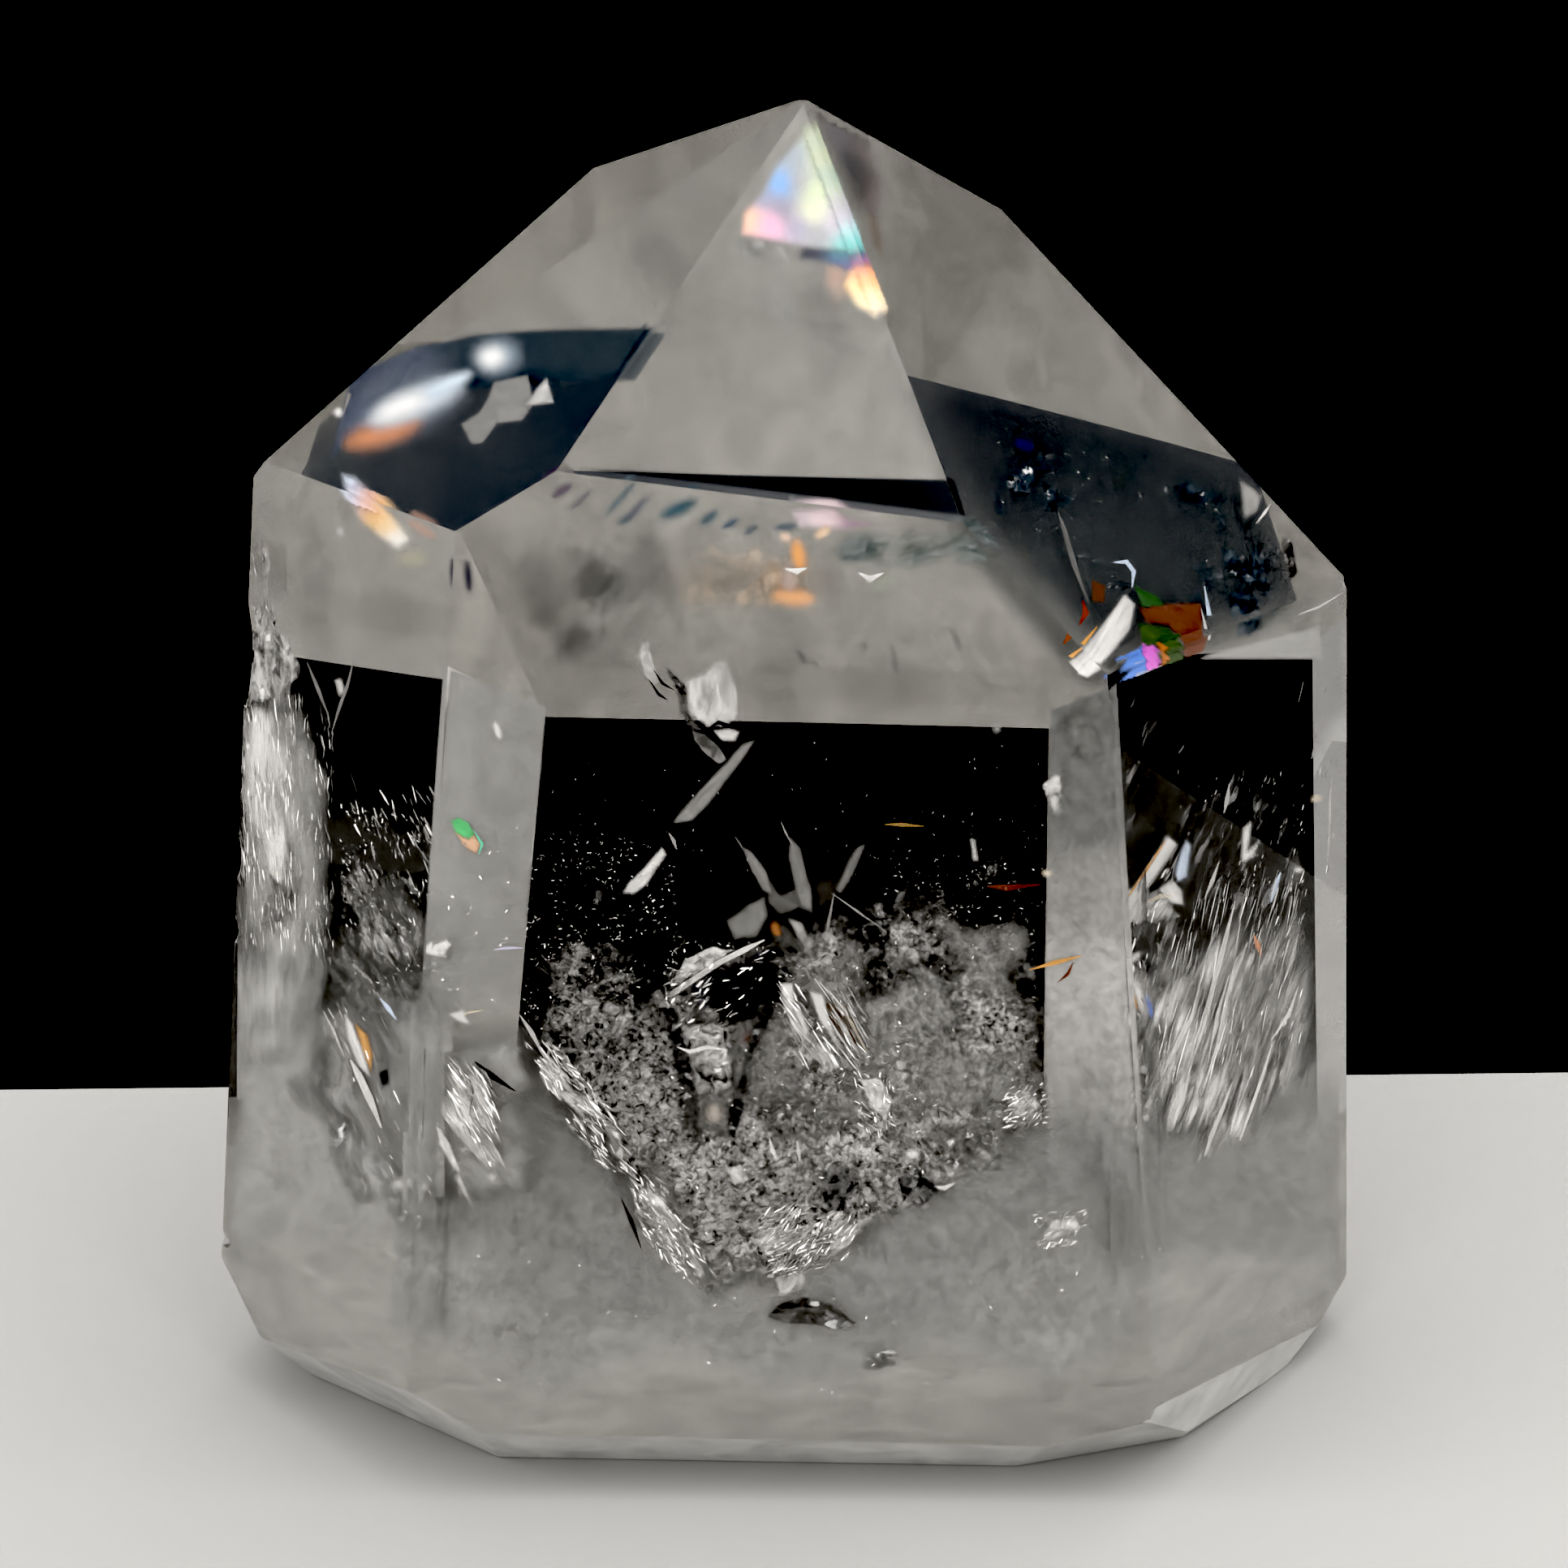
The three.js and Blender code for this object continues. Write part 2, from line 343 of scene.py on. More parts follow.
FRONT_LOWER = [
    # The dark funnel.
    veil("812,1240 834,1240 850,1300 860,1350 866,1400 852,1400 840,1350 826,1295",
         2.4, INK, 0.12, cover=0.85, grain=5, soft=9),
    veil("932,1236 956,1240 940,1290 922,1345 908,1405 892,1400 904,1345 918,1290",
         2.4, INK, 0.12, cover=0.85, grain=5, soft=9),
    veil("880,1195 950,1180 968,1215 940,1255 900,1262 872,1240",
         2.7, INK, 0.05, grit=2, grain=6, soft=10),
    blob((927, 1280), 18, 13, 0, 2.5, (0.14, 0.07, 0.06), cover=0.7),
    hair("834,1290 850,1296 872,1290 896,1294", 5, 2.3, WHITE),
    blob((880, 1372), 16, 14, 90, 2.4, (0.55, 0.5, 0.45)),
    veil("838,1262 905,1262 900,1340 880,1352 850,1345",
         2.9, 0.04, 0.7, cover=0.75, grit=8, grain=5, soft=10),
    # The bright fan beside it.
    shard("962,1212 976,1212 980,1246 968,1248", 2.4, WHITE),
    shard("998,1222 1014,1226 1022,1262 1032,1288 1010,1256", 2.4, WHITE),
    hair("1022,1236 1040,1265 1062,1305", 4, 2.4, 0.75),
    hair("1034,1236 1050,1262 1068,1296", 4, 2.4, CREAM),
    hair("1044,1240 1058,1268 1070,1290", 3, 2.4, 0.6),
    hair("1012,1240 1034,1276 1056,1306", 3, 2.4, 0.85),
    veil("962,1232 985,1240 1003,1275 1030,1296 1062,1302 1062,1312 1020,1318 996,1302 975,1270",
         2.5, 0.35, 1.0, cover=0.7, grit=6, stretch=4, lean=56, soft=8),
    veil("1010,1236 1050,1236 1066,1290 1040,1290",
         2.6, (0.1, 0.06, 0.03), 0.3, cover=0.9, stretch=4, lean=60, soft=6),
    # The bright diagonal veil that bounds the dark window on the left.
    veil("660,1305 680,1300 705,1330 735,1352 765,1395 772,1425 758,1432 735,1395 712,1375 685,1352 "
         "664,1330",
         2.0, 0.3, 1.0, cover=0.62, grit=6, stretch=4, lean=52, soft=9),
    veil("716,1368 738,1380 764,1412 756,1424 734,1406",
         1.9, 0.02, 0.3, cover=0.9, grit=4, grain=5, stretch=3, lean=50, soft=5),
    hair("640,1250 655,1272 672,1305", 6, 2.0, 0.65),
    veil("706,1385 735,1412 758,1430 770,1450 745,1445 720,1415",
         2.0, 0.3, 0.9, cover=0.55, grit=6, stretch=3, lean=50, soft=8),
    veil("778,1468 800,1455 822,1480 845,1512 868,1545 872,1572 858,1578 842,1552 815,1535 792,1505",
         2.0, 0.3, 1.0, cover=0.62, grit=6, stretch=3, lean=55, soft=10),
    hair("766,1478 778,1505 790,1538", 6, 2.0, 0.06),
    # Silvery cracks at the foot of the window.
    veil("920,1525 948,1482 972,1470 985,1492 1015,1502 1060,1516 1045,1545 1000,1565 955,1552 935,1540",
         2.2, 0.25, 1.0, cover=0.6, grit=6, stretch=2.5, lean=-38),
    veil("955,1575 990,1562 1005,1590 960,1600",
         2.2, 0.4, 0.8, cover=0.8, grit=4, grain=5, stretch=2, lean=-40, soft=8),
    veil("1060,1330 1085,1328 1100,1355 1092,1385 1075,1365",
         2.2, 0.35, 1.0, cover=0.9, grit=5, grain=5, stretch=1.5, lean=60, soft=6),
    blob((1124, 1422), 11, 8, 0, 2.2, 0.95),
    hair("1150,1462 1164,1464 1176,1458", 6, 2.0, WHITE),
    veil("895,1440 915,1432 925,1455 905,1462", 2.2, 0.5, 1.0, grain=6, soft=5),
    hair("948,1402 952,1418 958,1430", 6, 2.2, 0.8),
    hair("982,1405 984,1420 986,1432", 5, 2.2, 0.8),
    veil("1240,1350 1262,1338 1285,1345 1284,1362 1262,1380 1244,1378",
         2.2, 0.3, 1.0, cover=0.6, grit=6, stretch=2, lean=-40, soft=9),
    veil("1275,1518 1300,1500 1325,1495 1332,1508 1335,1522 1310,1530 1290,1534",
         2.2, 0.35, 0.95, cover=0.5, grit=6, stretch=2, lean=-35, soft=10),
    # Dark pits and lenses in the cloud.
    veil("1012,1440 1040,1428 1055,1460 1046,1495 1018,1490 1005,1465",
         2.0, INK, 0.3, cover=0.8, grit=7, grain=6, soft=8),
    veil("1102,1450 1128,1438 1150,1455 1160,1468 1140,1485 1112,1475",
         2.0, INK, 0.25, cover=0.9, grit=6, grain=6, soft=7),
    veil("1160,1395 1225,1368 1238,1400 1200,1440 1150,1450",
         2.3, 0.03, 0.35, cover=0.55, grit=7, grain=6),
    veil("944,1622 960,1606 990,1598 1022,1606 1056,1630 1040,1640 1000,1632 965,1630",
         1.6, 0.03, 0.2, cover=0.9, grit=4, grain=5, stretch=2, soft=5),
    veil("1045,1662 1110,1658 1112,1690 1060,1698", 1.6, 0.1, 0.3, cover=0.5, grit=5, grain=5, stretch=2),
    # The crackle cloud that fills the window's foot.
    veil("655,1000 800,1000 870,1150 850,1400 770,1440 648,1250",
         3.0, 0.02, 0.5, cover=(-0.35, 1.3), grain=2.6, soft=40),
    veil("960,1400 1240,1340 1230,1440 1060,1530 900,1590 860,1480",
         2.8, 0.02, 0.75, cover=0.5, grit=4, grain=3, soft=34),
    veil("830,1180 960,1130 1284,1010 1288,1370 1180,1465 1060,1530 880,1590 800,1450",
         3.3, 0.04, 0.7, cover=(0.0, 0.9), grain=2.6, soft=50),
    veil("830,1200 960,1140 1286,1010 1286,1370 1180,1465 1060,1530 880,1595 790,1450",
         3.8, 0.16, 0.46, cover=(-0.1, 1.9), grit=2.2, soft=60),
    # Milky haze outside and under the cloud.
    glow("560,1270 645,1265 700,1355 775,1450 870,1590 960,1580 1060,1505 1175,1425 1275,1320 1386,1300 "
         "1404,1560 1400,1640 1300,1700 1150,1650 980,1710 820,1660 680,1710 560,1660 490,1620 530,1320",
         (5.0, 2.0), [(600, 1330, (0.34, 0.335, 0.33)), (640, 1480, (0.32, 0.317, 0.31)),
                      (760, 1570, (0.34, 0.336, 0.33)), (900, 1640, (0.4, 0.395, 0.385)),
                      (1100, 1590, (0.37, 0.366, 0.36)), (1240, 1450, (0.35, 0.346, 0.34)),
                      (1340, 1400, (0.37, 0.366, 0.36)), (1340, 1560, (0.38, 0.375, 0.367)),
                      (540, 1600, (0.38, 0.375, 0.367)), (760, 1680, (0.43, 0.425, 0.415)),
                      (1000, 1700, (0.44, 0.435, 0.425)), (1250, 1680, (0.43, 0.425, 0.415))], grit=0.8,
         soft=60),
]

RIGHT_STRIP = [
    through(glow("1296,876 1371,846 1377,1000 1397,1345 1403,1480 1290,1470 1288,1200 1293,1000",
                 0.9, [(1330, 880, (0.27, 0.27, 0.27)), (1330, 1000, (0.27, 0.27, 0.265)),
                       (1335, 1100, (0.42, 0.41, 0.4)), (1338, 1220, (0.57, 0.56, 0.55)),
                       (1340, 1330, (0.52, 0.51, 0.5)), (1345, 1440, (0.4, 0.395, 0.39))],
                 cover=(1.8, 0.4), grit=0.8, soft=4), 1335, 1100),
    veil("1310,868 1345,850 1364,860 1364,935 1330,940 1305,905",
         0.8, 0.16, 0.3, cover=0.65, grit=2, grain=7, soft=16),
    veil("1282,965 1300,952 1312,965 1308,985 1312,1002 1298,1010 1288,985",
         0.8, 0.3, 0.9, cover=0.6, grit=5, soft=8),
    hair("1268,1195 1300,1186 1332,1178", 6, 0.7, ORANGE),
    hair("1304,1210 1316,1200 1322,1186", 4, 0.7, (0.2, 0.08, 0.04)),
    blob((1290, 1076), 8, 6, 0, 0.7, CREAM),
    blob((1228, 898), 8, 8, 0, 1.7, 0.4),
]

RIGHT_WINDOW = [
    veil("1490,806 1625,772 1630,812 1480,812", 1.0, 0.52, 0.58, grit=0.5, grain=6, soft=4),
    shard("1438,1030 1450,1040 1428,1075 1396,1118 1378,1136 1374,1128 1400,1090 1424,1055", 2.4, WHITE),
    hair("1436,1036 1415,1068 1385,1112", 4, 2.3, ORANGE),
    shard("1462,1036 1467,1042 1462,1080 1452,1086 1448,1076 1456,1048", 2.4, BLUE_WHITE),
    shard("1444,1084 1456,1098 1458,1114 1442,1112 1428,1096", 2.4, WHITE),
    hair("1412,1112 1430,1104 1446,1104", 6, 2.4, CREAM),
    blob((1398, 1180), 11, 6, -40, 2.4, WHITE),
    blob((1404, 1228), 24, 8, 75, 2.4, WHITE),
    blob((1396, 1226), 20, 4, 75, 2.3, ORANGE),
    blob((1416, 1240), 16, 5, 75, 2.3, (0.2, 0.3, 0.7)),
    blob((1413, 1190), 18, 9, 60, 2.5, INK),
    shard("1532,1020 1542,1012 1540,1030 1536,1050 1546,1042 1552,1034 1544,1056 1530,1062", 2.4, WHITE),
    hair("1578,1075 1570,1095 1566,1112", 8, 2.4, BLUE_WHITE),
    blob((1600, 1072), 7, 5, 0, 2.4, WHITE),
    hair("1502,1062 1494,1085 1484,1108", 5, 2.4, 0.75),
    hair("1545,1152 1550,1165 1554,1178", 7, 2.4, (0.8, 0.4, 0.25)),
    hair("1522,1110 1508,1165 1495,1215 1482,1265 1472,1300", 6, 2.2, WHITE),
    hair("1520,1190 1510,1240 1500,1290 1482,1345", 5, 2.2, WHITE),
    hair("1515,1200 1500,1250 1488,1310", 4, 2.1, WHITE),
    hair("1480,1205 1470,1250 1450,1290 1432,1325", 5, 2.2, WHITE),
    hair("1468,1240 1455,1275 1436,1312", 4, 2.1, WHITE),
    hair("1600,1215 1588,1250 1566,1282", 5, 2.2, WHITE),
    hair("1568,1285 1556,1325 1542,1365 1528,1405", 4, 2.2, WHITE),
    hair("1518,1335 1505,1370 1492,1400 1484,1425", 5, 2.2, 0.9),
    hair("1430,1330 1412,1365 1394,1390", 6, 2.2, 0.6),
    blob((1388, 1384), 9, 6, 0, 2.1, 0.9),
    hair("1600,1150 1592,1180 1580,1215", 5, 2.2, 0.7),
    veil("1385,1290 1430,1280 1425,1350 1388,1360", 2.5, 0.02, 0.24, cover=0.6, grit=4, grain=5, soft=20),
    veil("1386,1130 1440,1120 1440,1290 1388,1290", 3.0, 0.03, 0.2, cover=0.6, grit=4, grain=5, soft=22),
    veil("1484,1150 1530,1110 1530,1230 1490,1320 1446,1330 1440,1260",
         2.4, 0.4, 1.0, cover=0.5, grit=5, grain=3, stretch=9, lean=107, soft=36),
    veil("1376,1096 1440,1090 1456,1130 1376,1150",
         2.5, 0.3, 0.95, cover=0.6, grit=4, stretch=3, lean=130),
    # A near-black sheet over the upper part of the right window: painted shade.
    veil("1374,850 1410,850 1520,950 1606,1030 1606,1120 1520,1160 1384,1190",
         3.3, 0.003, 0.035, cover=0.95, stretch=4, lean=112, soft=60),
    veil("1376,935 1420,1010 1500,980 1600,960 1618,1100 1612,1320 1540,1400 1470,1430 1385,1360 "
         "1378,1100",
         2.8, 0.02, 1.0, cover=(-0.2, 0.75), grit=4.5, grain=3, stretch=8, lean=108, soft=34),
    veil("1380,1060 1470,1060 1560,1040 1618,1020 1612,1400 1540,1440 1385,1400",
         3.6, 0.08, 0.5, cover=(0.1, 1.5), grit=1.8, stretch=4, lean=108, soft=50),
    veil("1378,1350 1450,1390 1560,1360 1650,1330 1655,1540 1400,1560",
         3.0, 0.28, 0.38, grit=1.0, grain=7, soft=60),
    hair("1640,960 1638,1010 1636,1060", 4, 1.2, 0.7),
    hair("1630,880 1622,915 1616,935", 5, 1.4, 0.6),
    hair("1606,840 1600,865", 4, 1.6, 0.6),
    blob((1622, 984), 9, 6, -20, 1.4, CREAM),
    hair("1515,965 1512,985 1508,1002", 6, 2.4, 0.7),
]

RIGHT_SHOULDER = [
    # A dark sheet over the dark window of the right tip face: painted shade.
    glow("1150,480 1344,524 1520,592 1575,680 1585,735 1370,815 1215,640",
         2.8, [(1200, 540, (0.085, 0.087, 0.09)), (1400, 640, (0.091, 0.096, 0.1)),
               (1500, 720, (0.091, 0.096, 0.1))], cover=0.7, soft=20),
    # The flash at the foot of the right tip face.
    shard("1386,733 1398,744 1392,775 1372,802 1356,818 1342,814 1334,800 1350,782 1370,755", 1.4, WHITE),
    hair("1336,806 1334,794 1352,772", 6, 1.3, ORANGE),
    hair("1372,693 1388,692 1397,704 1395,724", 6, 1.3, BLUE_WHITE),
    shard("1405,750 1440,744 1480,744 1483,790 1462,797 1440,770 1412,766", 1.6, (0.26, 0.14, 0.11)),
    shard("1398,722 1425,734 1434,746 1408,748", 1.6, (0.13, 0.2, 0.12)),
    shard("1404,768 1440,775 1462,800 1440,806 1408,796", 1.6, (0.13, 0.17, 0.1)),
    shard("1346,715 1362,722 1360,742 1346,740", 1.6, (0.22, 0.13, 0.09)),
    shard("1380,828 1392,806 1410,795 1420,806 1406,820", 1.4, (0.25, 0.42, 0.95)),
    shard("1408,793 1422,800 1432,817 1418,820 1408,806", 1.35, (0.9, 0.3, 0.85)),
    shard("1430,800 1442,812 1434,818", 1.35, (0.9, 0.35, 0.15)),
    # A painted glint along the lower edge of the right tip face.
    hair("1364,842 1400,832 1432,820", 4, 1.2, WHITE),
    hair("1484,722 1490,758 1496,792", 6, 1.4, BLUE_WHITE),
    hair("1480,750 1486,775 1484,798", 4, 1.4, 0.7),
    hair("1304,632 1312,655 1325,700 1342,745", 6, 1.8, 0.25),
    hair("1334,740 1338,755 1330,770", 8, 1.7, (0.3, 0.1, 0.05)),
    hair("1256,650 1268,700 1284,740", 5, 1.8, 0.16),
    veil("1160,500 1300,530 1460,580 1580,660 1590,745 1510,790 1400,740 1290,720 1200,620",
         2.6, (0.01, 0.015, 0.02), (0.16, 0.18, 0.2), cover=(0.2, 0.34), grit=7, grain=5, soft=26),
    blob((1262, 548), 16, 10, 20, 2.2, (0.03, 0.1, 0.2), cover=0.7),
    blob((1382, 594), 10, 14, 0, 2.2, (0.12, 0.12, 0.11), cover=0.6),
    veil("1528,590 1555,610 1550,630 1532,640", 1.6, 0.35, 0.45, grit=1, grain=6, soft=6),
    hair("1548,645 1558,632 1566,620", 4, 1.4, 0.8),
    hair("1600,757 1625,748 1655,730", 3, 0.9, 0.95),
    veil("1580,660 1592,668 1598,705 1590,715 1580,690", 1.4, 0.04, 0.2, grain=6, soft=6),
]

LEFT_SHOULDER = [
    # A dark navy sheet of painted shade over the dark window of the left tip face, and in it a painted
    # white reflection, a bright spot and grey flakes.
    glow("434,462 515,428 588,412 660,406 809,402 770,460 700,470 600,474 500,490 428,540 410,566",
         1.6, [(720, 440, (0.083, 0.093, 0.103)), (600, 430, (0.088, 0.1, 0.113)),
               (480, 470, (0.145, 0.16, 0.2)), (800, 405, (0.08, 0.09, 0.1))], cover=0.97, soft=4),
    blob((500, 470), 70, 26, -20, 1.5, (0.3, 0.32, 0.36), cover=0.3),
    blob((500, 505), 88, 42, -24, 1.2, (0.32, 0.36, 0.44), cover=0.7),
    blob((472, 532), 56, 24, -18, 1.1, (0.75, 0.36, 0.22), cover=0.9),
    blob((512, 496), 72, 27, -24, 1.0, (0.85, 0.92, 1.0)),
    blob((496, 500), 44, 22, -24, 0.9, (1.0, 1.0, 1.0)),
    blob((550, 474), 40, 14, -26, 0.9, (0.8, 0.9, 1.0), cover=0.9),
    veil("608,470 650,462 656,498 642,518 612,520 594,545 580,546 568,522 590,508 602,488",
         0.8, 0.26, 0.34, grit=0.6, grain=6, soft=3),
    shard("673,466 681,495 648,499 660,480", 0.7, 0.7),
    blob((612, 440), 38, 32, -15, 0.8, (0.5, 0.58, 0.68), cover=0.85),
    blob((606, 440), 25, 22, -15, 0.7, (1.0, 1.0, 1.0)),
    blob((418, 508), 8, 8, 0, 0.8, WHITE),
    hair("440,463 432,485 425,508", 5, 0.8, 0.4),
    # The flame under it.
    glow("424,585 438,588 462,612 486,640 504,664 490,676 470,662 444,640 430,612",
         0.9, [(430, 592, (0.7, 0.78, 0.9)), (434, 612, (0.6, 0.62, 0.75)),
               (450, 618, (0.8, 0.5, 0.42)), (462, 636, (0.95, 0.6, 0.28)),
               (478, 648, (1.0, 0.75, 0.45)), (488, 664, (1.0, 1.0, 0.98))], soft=7),
    blob((508, 688), 24, 16, 0, 1.0, (0.5, 0.48, 0.38), cover=0.8),
    blob((520, 652), 24, 10, 32, 1.0, (0.5, 0.34, 0.29), cover=0.8),
    blob((420, 655), 7, 7, 0, 1.0, 0.6),
]

TOP_BAND = [
    # A dark wedge along the edge where the tip meets the front face: painted shade.
    through(glow("712,577 900,586 1170,591 1184,636 1000,612 850,593",
                 0.7, [(960, 600, INK)], soft=3), 1100, 610),
    blob((765, 614), 30, 7, -48, 1.6, (0.13, 0.17, 0.2), cover=0.85),
    blob((784, 628), 26, 8, -48, 1.6, (0.15, 0.16, 0.2), cover=0.85),
    blob((770, 640), 14, 9, -30, 1.6, (0.13, 0.16, 0.19), cover=0.8),
    blob((836, 627), 30, 14, -24, 1.6, (0.06, 0.12, 0.16), cover=0.95),
    blob((874, 638), 17, 10, -35, 1.6, (0.09, 0.14, 0.18), cover=0.9),
    blob((900, 645), 14, 8, -30, 1.6, (0.09, 0.13, 0.19), cover=0.9),
    blob((925, 653), 13, 8, -35, 1.6, (0.16, 0.18, 0.21), cover=0.85),
    blob((968, 649), 18, 8, -8, 1.6, (0.12, 0.16, 0.2), cover=0.85),
    blob((693, 604), 18, 10, -35, 1.6, (0.13, 0.11, 0.14)),
    blob((716, 616), 22, 6, -45, 1.6, (0.14, 0.14, 0.16), cover=0.8),
    # Smoke and a warm flicker under them.
    veil("640,690 700,660 790,640 830,665 826,730 790,790 740,810 690,820 620,770 640,720",
         1.9, 0.06, 0.24, cover=0.5, grit=2.4, grain=9, stretch=2, lean=-60, soft=60),
    blob((664, 714), 56, 46, 60, 1.8, 0.15, cover=0.55),
    blob((724, 800), 60, 34, 20, 1.8, 0.17, cover=0.5),
    blob((760, 700), 90, 50, -20, 1.8, 0.2, cover=0.4),
    blob((822, 724), 40, 16, 80, 1.6, 0.17, cover=0.45),
    blob((925, 715), 120, 52, 0, 1.8, (0.3, 0.26, 0.23), cover=0.6),
    veil("830,694 880,664 965,660 1002,690 1002,735 960,768 890,772 836,745",
         1.7, (0.3, 0.26, 0.22), (0.78, 0.64, 0.52), cover=0.5, grit=2.6, grain=7, soft=26),
    veil("900,690 960,682 976,712 960,750 905,752 880,722",
         1.65, (0.4, 0.3, 0.22), (0.85, 0.68, 0.54), cover=0.4, soft=16),
    blob((984, 684), 24, 14, 80, 1.5, (1.0, 0.5, 0.22)),
    blob((978, 736), 32, 17, 5, 1.5, (1.0, 0.55, 0.3), cover=0.9),
    blob((972, 712), 22, 14, 90, 1.5, (0.7, 0.58, 0.55), cover=0.7),
    hair("968,701 982,704 994,700", 8, 1.3, 1.0),
    blob((968, 662), 10, 9, 20, 1.4, (0.9, 0.68, 0.55)),
    blob((1014, 656), 14, 9, -35, 1.4, (0.95, 0.7, 0.5)),
    glow("975,630 1025,624 1045,640 1075,645 1040,652 985,648",
         1.4, [(985, 636, (0.7, 0.6, 0.66)), (1010, 634, (0.95, 0.78, 0.8)),
               (1060, 646, (0.45, 0.32, 0.4))], soft=7),
    veil("1020,680 1054,660 1100,646 1170,648 1204,660 1216,690 1160,696 1110,700 1080,706 1050,700",
         1.6, (0.07, 0.09, 0.09), (0.26, 0.28, 0.28), cover=0.7, grit=2.6, grain=5, stretch=2, lean=-20,
         soft=22),
    hair("1058,706 1072,714 1088,706", 9, 1.3, 1.0),
    blob((1088, 718), 22, 14, -30, 1.5, (0.42, 0.44, 0.38), cover=0.8),
    veil("1000,690 1040,700 1050,740 1010,750", 1.8, 0.24, 0.36, cover=0.5, grit=2, grain=6, soft=24),
    veil("860,775 960,748 1010,740 1000,765 930,785 870,810 790,790 800,770",
         1.8, 0.2, 0.32, cover=0.5, grit=2.4, grain=12, soft=28),
    veil("955,588 972,590 990,592 982,618 972,628",
         0.8, 0.1, 0.5, cover=0.5, grit=4, grain=3, stretch=4, lean=70, soft=7),
    # Small dark specks at the front.
    blob((988, 810), 12, 6, 60, 1.2, 0.12, cover=0.8),
    blob((1004, 818), 9, 5, 40, 1.2, 0.16, cover=0.7),
    blob((1102, 812), 20, 6, 80, 1.2, 0.16, cover=0.6),
    blob((1178, 788), 16, 7, 70, 1.2, 0.14, cover=0.6),
    blob((1065, 796), 7, 5, 60, 1.2, 0.14, cover=0.6),
]

TIP = [
    # Painted light: the rainbow of dispersed light in the tip's front face.
    glow("1004,150 1014,175 1030,215 1046,255 1058,285 1058,310 1000,305 915,288 918,262 940,238 "
         "960,200 985,172",
         0.9, [(1004, 165, (0.48, 0.52, 0.4)), (980, 190, (0.34, 0.38, 0.44)),
               (1010, 195, (0.56, 0.6, 0.44)), (963, 228, (0.22, 0.45, 0.85)),
               (985, 225, (0.42, 0.4, 0.42)), (1004, 235, (0.66, 0.74, 0.48)),
               (1000, 262, (0.85, 0.88, 0.62)), (1026, 215, (0.4, 0.5, 0.44)),
               (940, 246, (0.3, 0.34, 0.46)), (924, 268, (1.0, 0.6, 0.42)),
               (950, 275, (1.0, 0.55, 0.75)), (985, 278, (0.42, 0.4, 0.55)),
               (1030, 275, (0.62, 0.52, 0.62)), (1042, 250, (0.5, 0.48, 0.52)),
               (1050, 285, (0.5, 0.75, 0.78)), (1044, 300, (0.15, 0.55, 0.52)),
               (965, 258, (0.3, 0.3, 0.38)), (1010, 290, (0.42, 0.42, 0.45))], soft=7),
    glow("1032,305 1060,310 1066,326 1046,334 1010,322 985,318 990,304",
         1.0, [(1042, 312, (0.06, 0.3, 0.32)), (1040, 326, (0.12, 0.12, 0.3)),
               (1000, 314, (0.05, 0.05, 0.08)), (1062, 328, (0.5, 0.2, 0.35))], soft=6, cover=0.9),
    veil("900,290 960,286 1040,306 1030,325 980,330 930,322 905,308",
         1.1, 0.1, 0.3, cover=0.6, grain=8, soft=18),
    glow("1058,328 1072,332 1080,350 1092,378 1078,390 1056,376 1040,352 1046,336",
         0.9, [(1065, 332, (0.9, 0.35, 0.32)), (1066, 342, (1.0, 0.55, 0.25)),
               (1056, 356, (1.0, 0.74, 0.42)), (1068, 368, (1.0, 0.88, 0.58)),
               (1082, 380, (0.9, 0.78, 0.62))], soft=8),
    glow("1020,325 1040,330 1044,362 1030,372 1018,350",
         1.0, [(1030, 335, (0.5, 0.34, 0.28)), (1034, 360, (0.42, 0.33, 0.28))], cover=0.8, soft=10),
    veil("920,315 1020,325 1030,400 1010,440 960,430 915,380",
         1.2, 0.22, 0.34, cover=0.45, grit=2, grain=12, soft=50),
    # A smoky patch on the face beside it.
    glow("1006,138 1040,150 1072,178 1088,225 1080,262 1058,262 1040,220 1018,175",
         0.9, [(1030, 168, (0.2, 0.19, 0.2)), (1050, 205, (0.13, 0.13, 0.135)),
               (1055, 235, (0.13, 0.13, 0.13)), (1080, 240, (0.24, 0.21, 0.21)),
               (1070, 190, (0.22, 0.2, 0.2))], soft=16),
    blob((1078, 285), 34, 12, 75, 1.0, (0.22, 0.18, 0.16), cover=0.7),
]

LAST_PATCHES = [
    # White crackle in the upper left corner, and a darker spot in the cloud's middle.
    through(veil("300,768 356,782 374,826 340,866 302,866",
                 0.7, 0.1, 0.75, cover=0.7, grit=5, grain=3, stretch=2.5, lean=88, soft=10), 340, 830),
    veil("940,1350 1000,1340 1030,1380 1000,1420 940,1415",
         2.6, 0.03, 0.3, cover=0.6, grit=4, grain=3, soft=24),
]

VEILS_AND_PAINTED_LIGHT = (LEFT_EDGE + LEFT_WINDOW + LEFT_STRIP + FRONT_UPPER + FRONT_LOWER + RIGHT_STRIP
         + RIGHT_WINDOW + RIGHT_SHOULDER + LEFT_SHOULDER + TOP_BAND + TIP + LAST_PATCHES)

